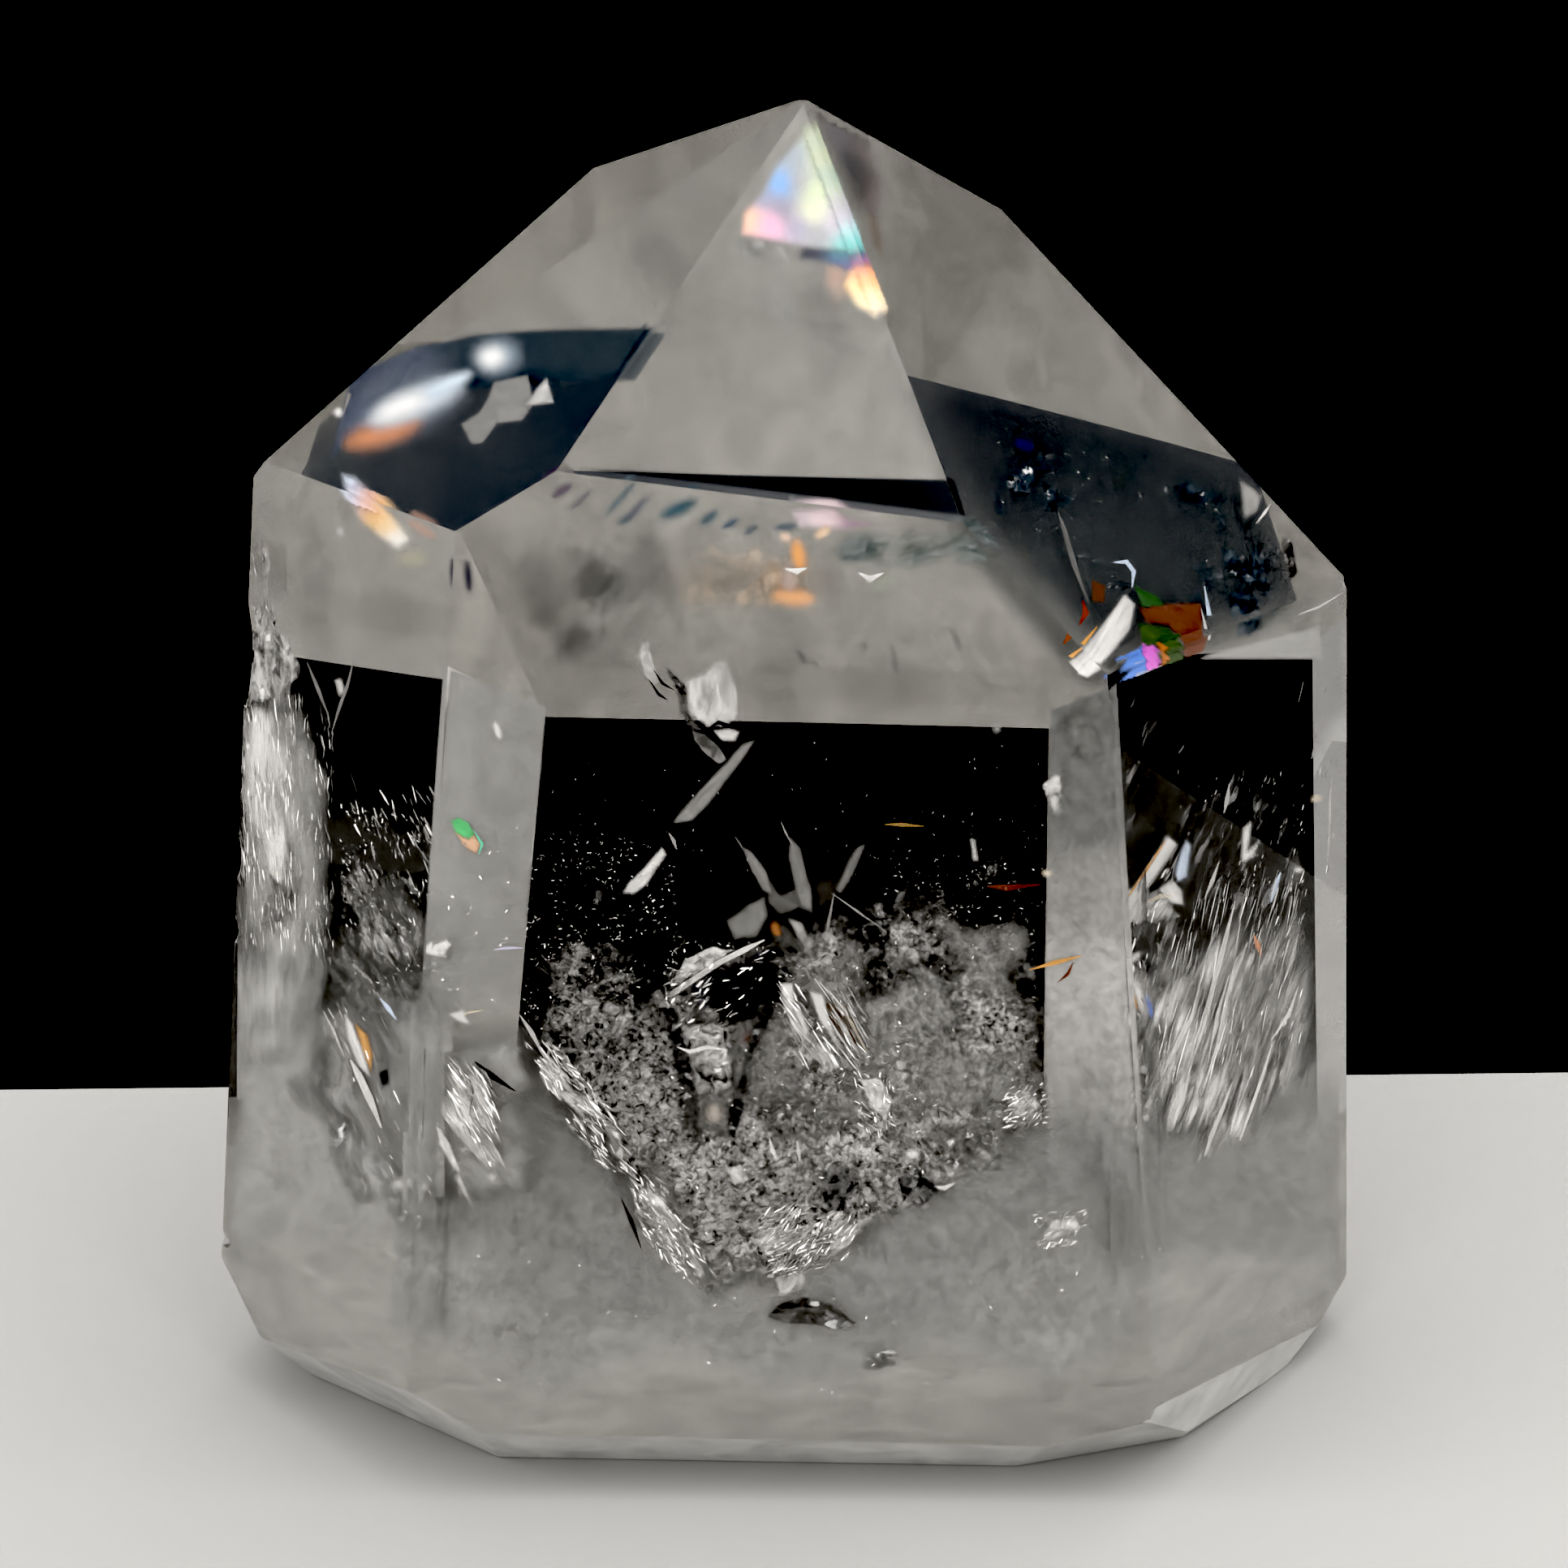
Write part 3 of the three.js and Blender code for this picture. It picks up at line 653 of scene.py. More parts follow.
SPARKS = [
    # In the left window and the left edge.
    sparks("415,990 545,1010 535,1215 430,1230", 560, (1.5, 4), (3, 9), (1.2, 3), 60, 50, 0.9),
    sparks("430,950 542,975 538,1095 440,1085", 110, (1.5, 4), (10, 30), (2, 6), 62, 18, 1.0),
    sparks("296,870 346,875 366,1000 362,1190 292,1160", 1000, (0.8, 1.2), (8, 34), (1, 3), 90, 12, 1.0),
    sparks("350,850 410,880 412,1190 356,1200", 700, (1.0, 1.6), (6, 24), (1, 2.6), 92, 18, 0.8),
    sparks("308,640 340,680 360,850 310,860", 130, (0.8, 1.3), (4, 14), (1.5, 3), 92, 20, 0.8),
    sparks("400,1230 470,1240 520,1460 450,1470", 90, (1.4, 2), (5, 24), (1.5, 4), 64, 14, 0.9),
    sparks("560,1000 645,1010 632,1260 540,1260", 90, (0.4, 0.8), (3, 7), (2, 4), 0, 180, 1.0),
    # In the front window.
    sparks("660,900 1290,920 1285,1100 645,1060", 420, (2, 10), (2, 5), (1, 2.2), 80, 60, 0.4, 2),
    sparks("648,1020 830,1040 840,1300 700,1320 645,1250", 1100, (2, 6), (2, 7), (1, 2.6), 0, 180, 0.7),
    sparks("830,1150 1100,1190 1160,1480 900,1560 790,1440",
           1800, (1.6, 6), (2, 8), (1, 2.8), 0, 180, 1.0),
    sparks("1080,1080 1285,1060 1280,1370 1160,1460 1090,1380",
           1300, (2, 6), (2, 6), (1, 2.4), 0, 180, 0.7),
    sparks("820,1200 945,1170 930,1250 840,1280", 130, (2, 3.2), (5, 18), (2, 4), -30, 30, 1.0),
    sparks("960,1210 1060,1225 1078,1305 985,1310", 300, (2.2, 2.6), (10, 44), (1, 2.6), 58, 10, 1.0),
    sparks("930,1500 1000,1468 1060,1510 1040,1555 950,1580",
           1000, (1.8, 2.3), (4, 22), (1, 3.5), -38, 36, 1.0),
    sparks("1050,1320 1100,1320 1110,1400 1060,1400", 220, (1.8, 2.3), (4, 16), (1, 3), 60, 40, 1.0),
    sparks("1238,1340 1290,1335 1290,1385 1240,1390", 300, (1.8, 2.3), (4, 14), (1, 3), -40, 40, 1.0),
    sparks("1272,1495 1340,1490 1340,1530 1280,1540", 240, (1.8, 2.3), (4, 14), (1, 3), -35, 40, 1.0),
    # The bright vein down the left of the window.
    sparks("646,1285 690,1290 760,1380 780,1440 750,1445 700,1385",
           800, (1.4, 2.1), (4, 26), (1, 3), 54, 20, 1.0),
    sparks("770,1440 815,1455 880,1570 855,1590 790,1520",
           600, (1.4, 2.1), (3, 20), (1, 3.2), 56, 22, 1.0),
    sparks("560,1310 605,1320 620,1430 600,1440 550,1380", 300, (1.3, 1.5), (8, 34), (1, 4), 62, 10, 1.0),
    # In the right window.
    sparks("1450,930 1612,920 1610,1100 1460,1090", 420, (2, 6), (3, 10), (1, 2.6), 112, 30, 0.85, 2),
    sparks("1385,1090 1612,1060 1600,1330 1400,1400", 1300, (1.9, 4), (4, 22), (1, 3), 108, 16, 1.0),
    sparks("1440,1130 1600,1080 1590,1230 1500,1340 1420,1340",
           560, (1.8, 2.6), (14, 70), (1, 3), 107, 9, 1.0),
    sparks("1380,1090 1450,1040 1460,1110 1390,1150", 70, (2, 3), (8, 34), (2, 6), 128, 20, 1.0),
    sparks("1380,1160 1430,1160 1430,1270 1384,1270", 70, (2, 3), (5, 20), (2, 6), 80, 50, 1.0),
    # Scattered elsewhere.
    sparks("480,1480 900,1600 1350,1560 1500,1480 1300,1740 600,1740",
           220, (1, 3), (2, 7), (1.5, 4), 20, 180, 0.9),
    sparks("1620,820 1655,820 1650,1100 1620,1100", 90, (0.8, 1.5), (4, 16), (1.5, 3), 95, 16, 0.9),
    sparks("1200,500 1560,640 1500,760 1260,700", 200, (1.0, 1.8), (2, 5), (1, 2), 0, 180, 0.6),
]


def new_material(name):
    """An empty Principled material and its shader node."""
    material = bpy.data.materials.new(name)
    material.use_nodes = True
    shader = material.node_tree.nodes["Principled BSDF"]
    return material, shader


def clear_quartz():
    """See-through quartz with a faint warm tint."""
    material, shader = new_material("clear_quartz")
    shader.inputs["Base Color"].default_value = CLEAR_TINT
    shader.inputs["Roughness"].default_value = POLISH_ROUGHNESS
    shader.inputs["IOR"].default_value = QUARTZ_IOR
    shader.inputs["Transmission Weight"].default_value = 1.0
    tree = material.node_tree
    absorption = tree.nodes.new("ShaderNodeVolumeAbsorption")
    absorption.inputs["Color"].default_value = ABSORPTION_TINT
    absorption.inputs["Density"].default_value = ABSORPTION_DENSITY
    tree.links.new(absorption.outputs["Volume"], tree.nodes["Material Output"].inputs["Volume"])
    return material


def maths(tree, operation, *values):
    """A math node of numbers and sockets."""
    node = tree.nodes.new("ShaderNodeMath")
    node.operation = operation
    for i, value in enumerate(values):
        if isinstance(value, (int, float)):
            node.inputs[i].default_value = value
        else:
            tree.links.new(value, node.inputs[i])
    return node.outputs["Value"]


def noise(tree, vector, scale, detail, distortion):
    node = tree.nodes.new("ShaderNodeTexNoise")
    node.inputs["Scale"].default_value = scale
    node.inputs["Detail"].default_value = detail
    node.inputs["Roughness"].default_value = NOISE_ROUGHNESS
    node.inputs["Distortion"].default_value = distortion
    tree.links.new(vector, node.inputs["Vector"])
    return node


def mixed(tree, factor, first, second):
    """A colour mix of sockets or plain colours."""
    mix = tree.nodes.new("ShaderNodeMix")
    mix.data_type = "RGBA"
    tree.links.new(factor, mix.inputs[0])
    for name, value in (("A", first), ("B", second)):
        socket = next(s for s in mix.inputs if s.name == name and s.type == "RGBA")
        if isinstance(value, tuple):
            socket.default_value = value
        else:
            tree.links.new(value, socket)
    return next(s for s in mix.outputs if s.type == "RGBA")


def ground_base():
    """Finely ground quartz, a little cloudy."""
    material, shader = new_material("ground_base")
    tree = material.node_tree
    place = tree.nodes.new("ShaderNodeTexCoord").outputs["Object"]
    clouds = noise(tree, place, *BASE_CLOUDS).outputs["Fac"]
    cloudy = maths(tree, "MULTIPLY_ADD", clouds, *BASE_CLOUDS_SLOPE)
    cloudy.node.use_clamp = True
    tree.links.new(mixed(tree, cloudy, BASE_MOTTLE, BASE_COLOUR), shader.inputs["Base Color"])
    shader.inputs["Roughness"].default_value = 1.0
    shader.inputs["Specular IOR Level"].default_value = 0.0
    return material


def crackle_and_painted_light():
    """Fine crackle with painted glints, also worn by the sheets of painted light and shade. Each vertex
    says how strong, how gritty and of what two tones it is.
    """
    material, shader = new_material("crackle_and_painted_light")
    tree = material.node_tree

    def said(name, output):
        attribute = tree.nodes.new("ShaderNodeAttribute")
        attribute.attribute_name = name
        return attribute.outputs[output]

    grain = said("grain", "Vector")
    grit = said("grit", "Fac")
    clouds = maths(tree, "SUBTRACT", noise(tree, grain, *CRACKLE_CLOUDS).outputs["Fac"], 0.5)
    mottle = maths(tree, "SUBTRACT", noise(tree, grain, *CRACKLE_MOTTLE).outputs["Fac"], 0.5)
    reach = maths(tree, "MULTIPLY_ADD", grit, 0.5, 1.0)
    level = maths(tree, "SUBTRACT", said("strength", "Fac"), 0.5)
    shown = maths(tree, "MULTIPLY_ADD", level, reach, maths(tree, "MULTIPLY_ADD", clouds, grit, 0.5))
    shown.node.use_clamp = True
    tree.links.new(shown, shader.inputs["Alpha"])

    base_tone = maths(tree, "MULTIPLY_ADD", clouds, CLOUDS_CONTRAST, 0.5)
    tone = maths(tree, "MULTIPLY_ADD", mottle, MOTTLE_CONTRAST, base_tone)
    tone.node.use_clamp = True
    plain = mixed(tree, tone, said("low", "Color"), said("high", "Color"))

    # Where the crackle is gritty, a few small cells of it are painted white, as painted glints.
    shifted = tree.nodes.new("ShaderNodeVectorMath")
    shifted.operation = "MULTIPLY_ADD"
    tree.links.new(noise(tree, grain, *CELL_WARP).outputs["Color"], shifted.inputs[0])
    shifted.inputs[1].default_value = CELL_WARP_REACH
    tree.links.new(grain, shifted.inputs[2])
    cells = tree.nodes.new("ShaderNodeTexVoronoi")
    cells.inputs["Scale"].default_value = CELL_SCALE
    tree.links.new(shifted.outputs[0], cells.inputs["Vector"])
    chosen = tree.nodes.new("ShaderNodeSeparateColor")
    tree.links.new(cells.outputs["Color"], chosen.inputs[0])
    rare = maths(tree, "MULTIPLY_ADD", chosen.outputs[0], *PAINTED_GLINT_RARITY_SLOPE)
    dense = maths(tree, "MULTIPLY_ADD", mottle, *PAINTED_GLINT_MOTTLE_SLOPE)
    gritty = maths(tree, "MULTIPLY_ADD", grit, *PAINTED_GLINT_GRIT_SLOPE)
    for factor in (rare, dense, gritty):
        factor.node.use_clamp = True
    painted_glint = maths(tree, "MULTIPLY", maths(tree, "MULTIPLY", rare, dense), gritty)
    tree.links.new(mixed(tree, painted_glint, plain, (1.0, 1.0, 1.0, 1.0)), shader.inputs["Base Color"])
    shader.inputs["Roughness"].default_value = 1.0
    shader.inputs["Specular IOR Level"].default_value = 0.0
    return material


def flake_material():
    """Half-metallic, as a thin flake that mirrors the light."""
    material, shader = new_material("silvery_flakes")
    attribute = material.node_tree.nodes.new("ShaderNodeAttribute")
    attribute.attribute_name = "tone"
    material.node_tree.links.new(attribute.outputs["Color"], shader.inputs["Base Color"])
    shader.inputs["Metallic"].default_value = FLAKE_METALLIC
    shader.inputs["Roughness"].default_value = FLAKE_ROUGHNESS
    return material


def make_object(name, mesh, materials):
    piece = bpy.data.objects.new(name, mesh)
    bpy.context.scene.collection.objects.link(piece)
    for material in materials:
        piece.data.materials.append(material)
    return piece


def make_stone(node):
    """The solid's own faces with finely rounded edges, and a ground finish on the base and its bevels."""
    shape = bmesh.new()
    shape.from_mesh(node.data)
    bmesh.ops.remove_doubles(shape, verts=shape.verts, dist=WELD_DISTANCE)
    bmesh.ops.dissolve_limit(shape, angle_limit=math.radians(FLAT_WITHIN_DEG), verts=shape.verts,
                             edges=shape.edges)
    sharp_angle = math.radians(SHARP_ABOVE_DEG)
    sharp = [edge for edge in shape.edges if edge.calc_face_angle(0.0) > sharp_angle]
    bmesh.ops.bevel(shape, geom=sharp, offset=EDGE_ROUNDING, segments=2, profile=0.5, affect="EDGES",
                    clamp_overlap=True)
    bmesh.ops.recalc_face_normals(shape, faces=shape.faces)
    for face in shape.faces:
        low = face.calc_center_median().z < GROUND_ZONE_HEIGHT
        face.material_index = 1 if low and face.normal.z < GROUND_FACE_SLOPE else 0
    mesh = bpy.data.meshes.new("quartz_stone")
    shape.to_mesh(mesh)
    shape.free()
    stone = make_object("quartz_stone", mesh, [clear_quartz(), ground_base()])
    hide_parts("quartz_tower")
    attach(stone, "root")


CAMERA_TURN = (Matrix.Rotation(math.radians(90 - CAMERA_DOWN_DEG), 3, "X")
               @ Matrix.Rotation(math.radians(-CAMERA_ROLL_DEG), 3, "Z"))


def make_camera():
    camera = bpy.data.objects.new("camera", bpy.data.cameras.new("camera"))
    bpy.context.scene.collection.objects.link(camera)
    camera.data.sensor_width = SENSOR_MM
    camera.data.lens = CAMERA_LENS_MM
    camera.data.clip_start, camera.data.clip_end = CAMERA_SEES
    camera.location = CAMERA_PLACE
    camera.rotation_mode = "QUATERNION"
    camera.rotation_quaternion = CAMERA_TURN.to_quaternion()
    bpy.context.scene.camera = camera


class Sight:
    """Finds places in the stone behind points of the photograph, along sight lines that bend
    at the facet they enter."""

    POINTS_PER_RADIAN = PHOTO_SIZE * CAMERA_LENS_MM / SENSOR_MM

    def __init__(self, node):
        shape = bmesh.new()
        for vertex in node.data.vertices:
            shape.verts.new(vertex.co)
        bmesh.ops.convex_hull(shape, input=shape.verts)
        self.hull = BVHTree.FromBMesh(shape)
        shape.free()

    def enter(self, u, v, facet=None):
        """Where a sight line enters, its bent direction and the facet's outward direction. A
        facet's place and direction can be given, to stay with it a little past its edge."""
        half = PHOTO_SIZE / 2
        aim = Vector(((u - half) / self.POINTS_PER_RADIAN, (half - v) / self.POINTS_PER_RADIAN, -1))
        line = (CAMERA_TURN @ aim).normalized()
        if facet is None:
            place, facing, _, _ = self.hull.ray_cast(CAMERA_PLACE, line)
            if place is None:
                return None
            if facing.dot(line) > 0:
                facing = -facing
        else:
            on_facet, facing = facet
            place = CAMERA_PLACE + line * (on_facet - CAMERA_PLACE).dot(facing) / line.dot(facing)
        across = -facing.dot(line)
        onward = math.sqrt(1 - (1 - across * across) / QUARTZ_IOR ** 2)
        bent = line / QUARTZ_IOR + facing * (across / QUARTZ_IOR - onward)
        return place, bent.normalized(), facing

    def behind(self, u, v, depth, facet=None):
        """The place at a depth in mm behind a point of the photograph, kept inside the stone, its
        sight line's direction, and the facet's place and direction."""
        entry = self.enter(u, v, facet)
        if entry is None:
            return None
        place, bent, facing = entry
        _, _, _, room = self.hull.ray_cast(place + bent * SKIN, bent)
        if room is None:
            return None
        reach = min(depth * MM, room + SKIN - BACK_MARGIN)
        if reach < LEAST_DEPTH:
            return None
        return place + bent * reach, bent, (place, facing)


def colour_of(tone):
    """A grey number or a colour, with alpha."""
    if isinstance(tone, (int, float)):
        tone = [tone * part for part in GREY_TINT]
    return (*tone, 1.0)


def at_height(value, share):
    """A pair's value at a share of the way from the top to the foot, or the single value."""
    if isinstance(value, tuple):
        return value[0] + (value[1] - value[0]) * share
    return value


def between_stops(stops, u, v):
    """The colour at a picture point, each stop weighing less the farther it is."""
    total, blend = 0.0, [0.0, 0.0, 0.0]
    for stop_u, stop_v, tone in stops:
        weight = 1 / (1 + ((u - stop_u) ** 2 + (v - stop_v) ** 2) / STOP_REACH) ** 2
        total += weight
        blend = [part + weight * value for part, value in zip(blend, colour_of(tone))]
    return (*(part / total for part in blend), 1.0)


def edge_distance(point, outline):
    """How far a picture point lies inside an outline. It is negative outside."""
    nearest = math.inf
    inside = False
    for (au, av), (bu, bv) in zip(outline, outline[1:] + outline[:1]):
        run_u, run_v = bu - au, bv - av
        share = ((point[0] - au) * run_u + (point[1] - av) * run_v) / (run_u ** 2 + run_v ** 2)
        share = min(1.0, max(0.0, share))
        gap = math.hypot(point[0] - au - run_u * share, point[1] - av - run_v * share)
        nearest = min(nearest, gap)
        if (av > point[1]) != (bv > point[1]):
            if point[0] < au + run_u * (point[1] - av) / run_v:
                inside = not inside
    return nearest if inside else -nearest


class SheetMesh:
    """Collects thin sheets into one mesh, with what the crackle material reads at each vertex."""

    def __init__(self, sight):
        self.sight = sight
        self.points = []
        self.faces = []
        self.facets = []
        self.values = {name: [] for name in ("strength", "grit", "grain", "low", "high")}

    def add_vertex(self, sheet, number, u, v, inward, facet=None):
        """One vertex. inward is how far it lies inside the outline."""
        top = min(point[1] for point in sheet["outline"])
        foot = max(point[1] for point in sheet["outline"])
        share = (v - top) / max(foot - top, 1.0)
        placed = self.sight.behind(u, v, at_height(sheet["depth"], share), facet)
        if placed is None:
            return None
        fade = 1.0
        if sheet["soft"]:
            fade = min(1.0, max(0.0, (inward / sheet["soft"] + SOFT_REACH) / (1 + SOFT_REACH)))
            fade = fade * fade * (3 - 2 * fade)
        turn = math.radians(sheet["lean"])
        along = (u * math.cos(turn) + v * math.sin(turn)) / sheet["grain"] / sheet["stretch"]
        across = (v * math.cos(turn) - u * math.sin(turn)) / sheet["grain"]
        self.points.append(placed[0])
        self.facets.append(placed[2])
        cover = at_height(sheet["cover"], share)
        if sheet["grit"] > PATCHY_ABOVE_GRIT:
            spot = Vector((u / PATCH_SIZE, v / PATCH_SIZE, PATCH_STEP * number))
            cover += PATCHINESS * swirl.noise(spot)
        self.values["strength"].append(fade * cover)
        self.values["grit"].append(sheet["grit"])
        self.values["grain"].extend((along, across, GRAIN_STEP * number))
        low, high = colour_of(sheet["low"]), colour_of(sheet["high"])
        if "stops" in sheet:
            high = between_stops(sheet["stops"], u, v)
            low = dimmed(high, GLOW_SHADE) if sheet["grit"] else high
        self.values["low"].extend(low)
        self.values["high"].extend(high)
        return len(self.points) - 1

    def add_face(self, corners):
        """One face, where all its corners lie behind the same facet."""
        if None in corners:
            return False
        facing = self.facets[corners[0]][1]
        if any(self.facets[corner][1].dot(facing) < SAME_FACET for corner in corners):
            return False
        self.faces.append(corners)
        return True

    def add_edge_faces(self, sheet, number, cell, grid, places):
        """Faces for a cell that a facet's edge crosses: one behind each facet, run on past the edge."""
        met = []
        for corner in cell:
            if grid[corner] is None:
                continue
            facet = self.facets[grid[corner]]
            if all(facet[1].dot(other[1]) < SAME_FACET for other in met):
                met.append(facet)
        for facet in met:
            self.add_face([self.add_vertex(sheet, number, *places[corner], facet) for corner in cell])

    def add_soft_sheet(self, sheet, number):
        us = [point[0] for point in sheet["outline"]]
        vs = [point[1] for point in sheet["outline"]]
        step = max(FINEST_STEP, min(COARSEST_STEP, sheet["soft"] / STEPS_PER_SOFTNESS))
        margin = SOFT_REACH * sheet["soft"] + step
        first_u, first_v = min(us) - margin, min(vs) - margin
        columns = math.ceil((max(us) + margin - first_u) / step) + 1
        rows = math.ceil((max(vs) + margin - first_v) / step) + 1
        facet = None
        if "through" in sheet:
            place, _, facing = self.sight.enter(*sheet["through"])
            facet = (place, facing)
        grid, places = {}, {}
        for row in range(rows):
            for column in range(columns):
                u, v = first_u + column * step, first_v + row * step
                inward = edge_distance((u, v), sheet["outline"])
                if inward > -step - SOFT_REACH * sheet["soft"]:
                    places[column, row] = (u, v, inward)
                    grid[column, row] = self.add_vertex(sheet, number, u, v, inward, facet)
        for column, row in grid:
            corners = [(column, row), (column, row + 1), (column + 1, row + 1), (column + 1, row)]
            if not all(corner in grid for corner in corners):
                continue
            if not self.add_face([grid[corner] for corner in corners]):
                self.add_edge_faces(sheet, number, corners, grid, places)

    def add_crisp_sheet(self, sheet, number):
        outline = [Vector((u, v, 0.0)) for u, v in sheet["outline"]]
        corners = [self.add_vertex(sheet, number, u, v, 0.0) for u, v in sheet["outline"]]
        for triangle in geometry.tessellate_polygon([outline]):
            self.add_face([corners[i] for i in triangle])

    def add(self, sheet, number):
        if sheet["soft"]:
            self.add_soft_sheet(sheet, number)
        else:
            self.add_crisp_sheet(sheet, number)

    def build(self, name):
        mesh = bpy.data.meshes.new(name)
        mesh.from_pydata(self.points, [], self.faces)
        number, vector, colour = ("FLOAT", "value"), ("FLOAT_VECTOR", "vector"), ("FLOAT_COLOR", "color")
        kinds = {"strength": number, "grit": number, "grain": vector, "low": colour, "high": colour}
        for key, (kind, field) in kinds.items():
            layer = mesh.attributes.new(key, kind, "POINT")
            layer.data.foreach_set(field, self.values[key])
        piece = make_object(name, mesh, [crackle_and_painted_light()])
        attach(piece, "root")


def make_veils_and_painted_light(sight):
    """Every sheet of crackle, painted light and painted shade, as one mesh."""
    sheets = SheetMesh(sight)
    for number, sheet in enumerate(VEILS_AND_PAINTED_LIGHT):
        sheets.add(sheet, number)
    sheets.build("veils_and_painted_light")


def make_sparks(sight):
    """Loose flakes, each a small five-sided chip turned its own way."""
    chance = random.Random(FLAKE_SEED)
    points, faces, tones = [], [], []
    camera_right = CAMERA_TURN @ Vector((1, 0, 0))
    for cloud in SPARKS:
        us = [point[0] for point in cloud["outline"]]
        vs = [point[1] for point in cloud["outline"]]
        made = 0
        while made < cloud["count"]:
            u, v = chance.uniform(min(us), max(us)), chance.uniform(min(vs), max(vs))
            share = (v - min(vs)) / (max(vs) - min(vs))
            if edge_distance((u, v), cloud["outline"]) < 0:
                continue
            if chance.uniform(0, 1) > share ** (cloud["foot"] - 1):
                continue
            made += 1
            if swirl.noise(Vector((u / CLUMP_SIZE, v / CLUMP_SIZE, 0))) < chance.uniform(*CLUMP_LIMITS):
                continue
            placed = sight.behind(u, v, chance.uniform(*cloud["depth"]))
            if placed is None:
                continue
            place, bent, _ = placed
            point_size = (place - CAMERA_PLACE).length / sight.POINTS_PER_RADIAN
            level = (camera_right - bent * camera_right.dot(bent)).normalized()
            downward = bent.cross(level)
            turn = math.radians(cloud["lean"] + chance.uniform(-cloud["spread"], cloud["spread"]))
            along = level * math.cos(turn) + downward * math.sin(turn)
            across = downward * math.cos(turn) - level * math.sin(turn)
            tilt = chance.uniform(-FLAKE_TILT, FLAKE_TILT)
            across = across * math.cos(tilt) + bent * math.sin(tilt)
            half_length = chance.uniform(*cloud["length"]) / 2 * point_size
            half_width = chance.uniform(*cloud["width"]) / 2 * point_size
            first = len(points)
            for corner in range(FLAKE_CORNERS):
                slipped = corner + chance.uniform(-CORNER_SLIP, CORNER_SLIP)
                angle = 2 * math.pi * slipped / FLAKE_CORNERS
                lengthwise = along * half_length * math.cos(angle)
                points.append(place + lengthwise + across * half_width * math.sin(angle))
            faces.append(tuple(range(first, first + FLAKE_CORNERS)))
            tone = cloud["tone"] * chance.uniform(*FLAKE_TONES)
            tones.extend(colour_of(tone) * FLAKE_CORNERS)
    mesh = bpy.data.meshes.new("flakes")
    mesh.from_pydata(points, [], faces)
    layer = mesh.attributes.new("tone", "FLOAT_COLOR", "POINT")
    layer.data.foreach_set("color", tones)
    piece = make_object("flakes", mesh, [flake_material()])
    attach(piece, "root")


def make_floor():
    """A plain pale floor that ends behind the stone, where the dark of the room begins."""
    mesh = bpy.data.meshes.new("floor")
    corners = [
        (-FLOOR_HALF_WIDTH, FLOOR_FRONT, 0.0),
        (FLOOR_HALF_WIDTH, FLOOR_FRONT, 0.0),
        (FLOOR_HALF_WIDTH, FLOOR_BACK, 0.0),
        (-FLOOR_HALF_WIDTH, FLOOR_BACK, 0.0),
    ]
    mesh.from_pydata(corners, [], [(0, 1, 2, 3)])
    material, shader = new_material("floor")
    shader.inputs["Base Color"].default_value = FLOOR_COLOUR
    shader.inputs["Roughness"].default_value = 1.0
    floor = make_object("floor", mesh, [material])
    floor.location.z = -FLOOR_DROP


def toward(turn_deg, rise_deg):
    """The direction at a turn from straight ahead to the right, and a rise above level."""
    turn, rise = math.radians(turn_deg), math.radians(rise_deg)
    return Vector((math.sin(turn) * math.cos(rise), math.cos(turn) * math.cos(rise), math.sin(rise)))


def sky_patch(tree, direction, middle, inner_deg, outer_deg):
    """1 within inner_deg of a direction of the sky, falling to 0 at outer_deg."""
    dot = tree.nodes.new("ShaderNodeVectorMath")
    dot.operation = "DOT_PRODUCT"
    tree.links.new(direction, dot.inputs[0])
    dot.inputs[1].default_value = middle
    fall = tree.nodes.new("ShaderNodeMapRange")
    fall.interpolation_type = "SMOOTHSTEP"
    fall.inputs["From Min"].default_value = math.cos(math.radians(outer_deg))
    fall.inputs["From Max"].default_value = math.cos(math.radians(inner_deg))
    tree.links.new(dot.outputs["Value"], fall.inputs["Value"])
    return fall.outputs["Result"]


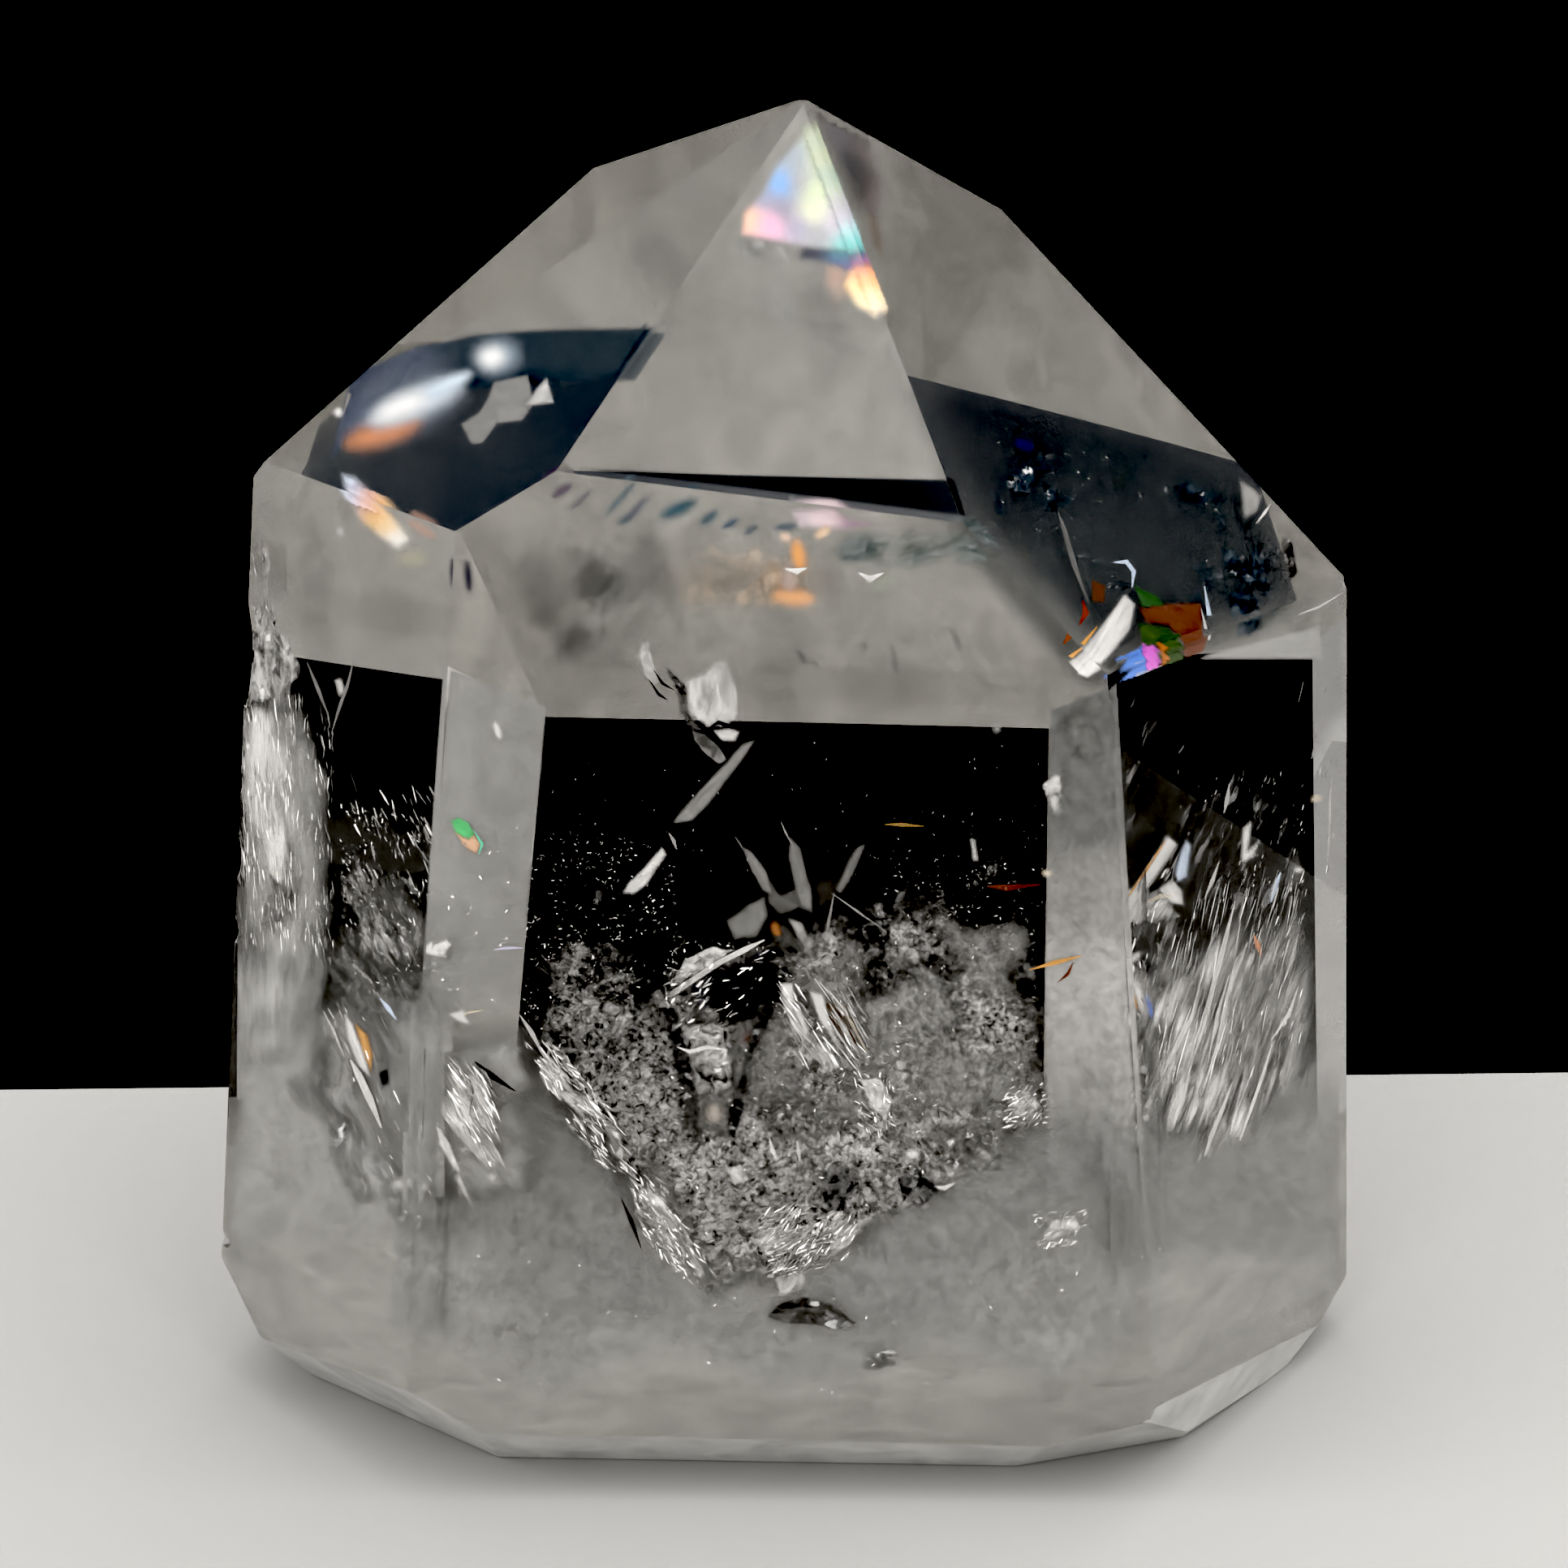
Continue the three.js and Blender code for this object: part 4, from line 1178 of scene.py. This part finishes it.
def make_sky():
    """A soft grey studio, lit from overhead, the sides and the front, and dark behind the stone."""
    world = bpy.data.worlds.new("studio")
    bpy.context.scene.world = world
    world.use_nodes = True
    tree = world.node_tree
    coordinates = tree.nodes.new("ShaderNodeTexCoord")
    direction = coordinates.outputs["Generated"]
    # Each patch's middle, how far it is full and where it has faded out, in degrees, and its colour.
    patches = [
        (toward(0, 74), 24, 50, OVERHEAD_SKY),
        (toward(-112, 48), 18, 36, SOFTBOX),
        (toward(112, 48), 18, 36, SOFTBOX),
        (toward(180, 20), 26, 44, FRONT_SKY),
        (toward(-140, 22), 20, 42, FRONT_LEFT_SKY),
        (toward(140, 22), 18, 38, FRONT_RIGHT_SKY),
        (toward(-58, 38), 16, 30, DIM_SKY),
        (toward(60, 18), 16, 30, DIM_SKY),
        (toward(0, -10), 56, 64, DARK_SKY),
        (toward(0, -90), 42, 48, UNDER_SKY),
    ]
    colour = GREY_SKY
    for middle, inner_deg, outer_deg, tone in patches:
        colour = mixed(tree, sky_patch(tree, direction, middle, inner_deg, outer_deg), colour, tone)
    tree.links.new(colour, tree.nodes["Background"].inputs["Color"])


def set_light_paths():
    """A faceted clear stone bounces light many times inside."""
    cycles = bpy.context.scene.cycles
    cycles.max_bounces = LIGHT_BOUNCES
    cycles.glossy_bounces = LIGHT_BOUNCES
    cycles.transmission_bounces = LIGHT_BOUNCES
    cycles.transparent_max_bounces = CLEAR_LAYERS
    # Half clear sheets leave rings in a picture that is smoothed by its colour and normal passes.
    cycles.denoising_input_passes = "RGB"


def set_picture_tones():
    """Deep blacks, as in the photograph."""
    tones = bpy.context.scene.view_settings
    tones.view_transform = "Standard"
    tones.use_curve_mapping = True
    tones.curve_mapping.black_level = (BLACK_LEVEL, BLACK_LEVEL, BLACK_LEVEL)
    tones.curve_mapping.update()


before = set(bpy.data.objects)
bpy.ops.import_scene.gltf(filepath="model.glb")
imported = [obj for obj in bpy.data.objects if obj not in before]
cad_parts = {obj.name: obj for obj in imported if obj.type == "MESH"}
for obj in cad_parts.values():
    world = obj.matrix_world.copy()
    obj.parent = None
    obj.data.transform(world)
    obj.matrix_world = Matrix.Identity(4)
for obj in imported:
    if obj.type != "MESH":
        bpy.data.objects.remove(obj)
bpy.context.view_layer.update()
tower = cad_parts["quartz_tower"]
make_stone(tower)
make_camera()
sight_lines = Sight(tower)
make_veils_and_painted_light(sight_lines)
make_sparks(sight_lines)
make_floor()
make_sky()
set_light_paths()
set_picture_tones()
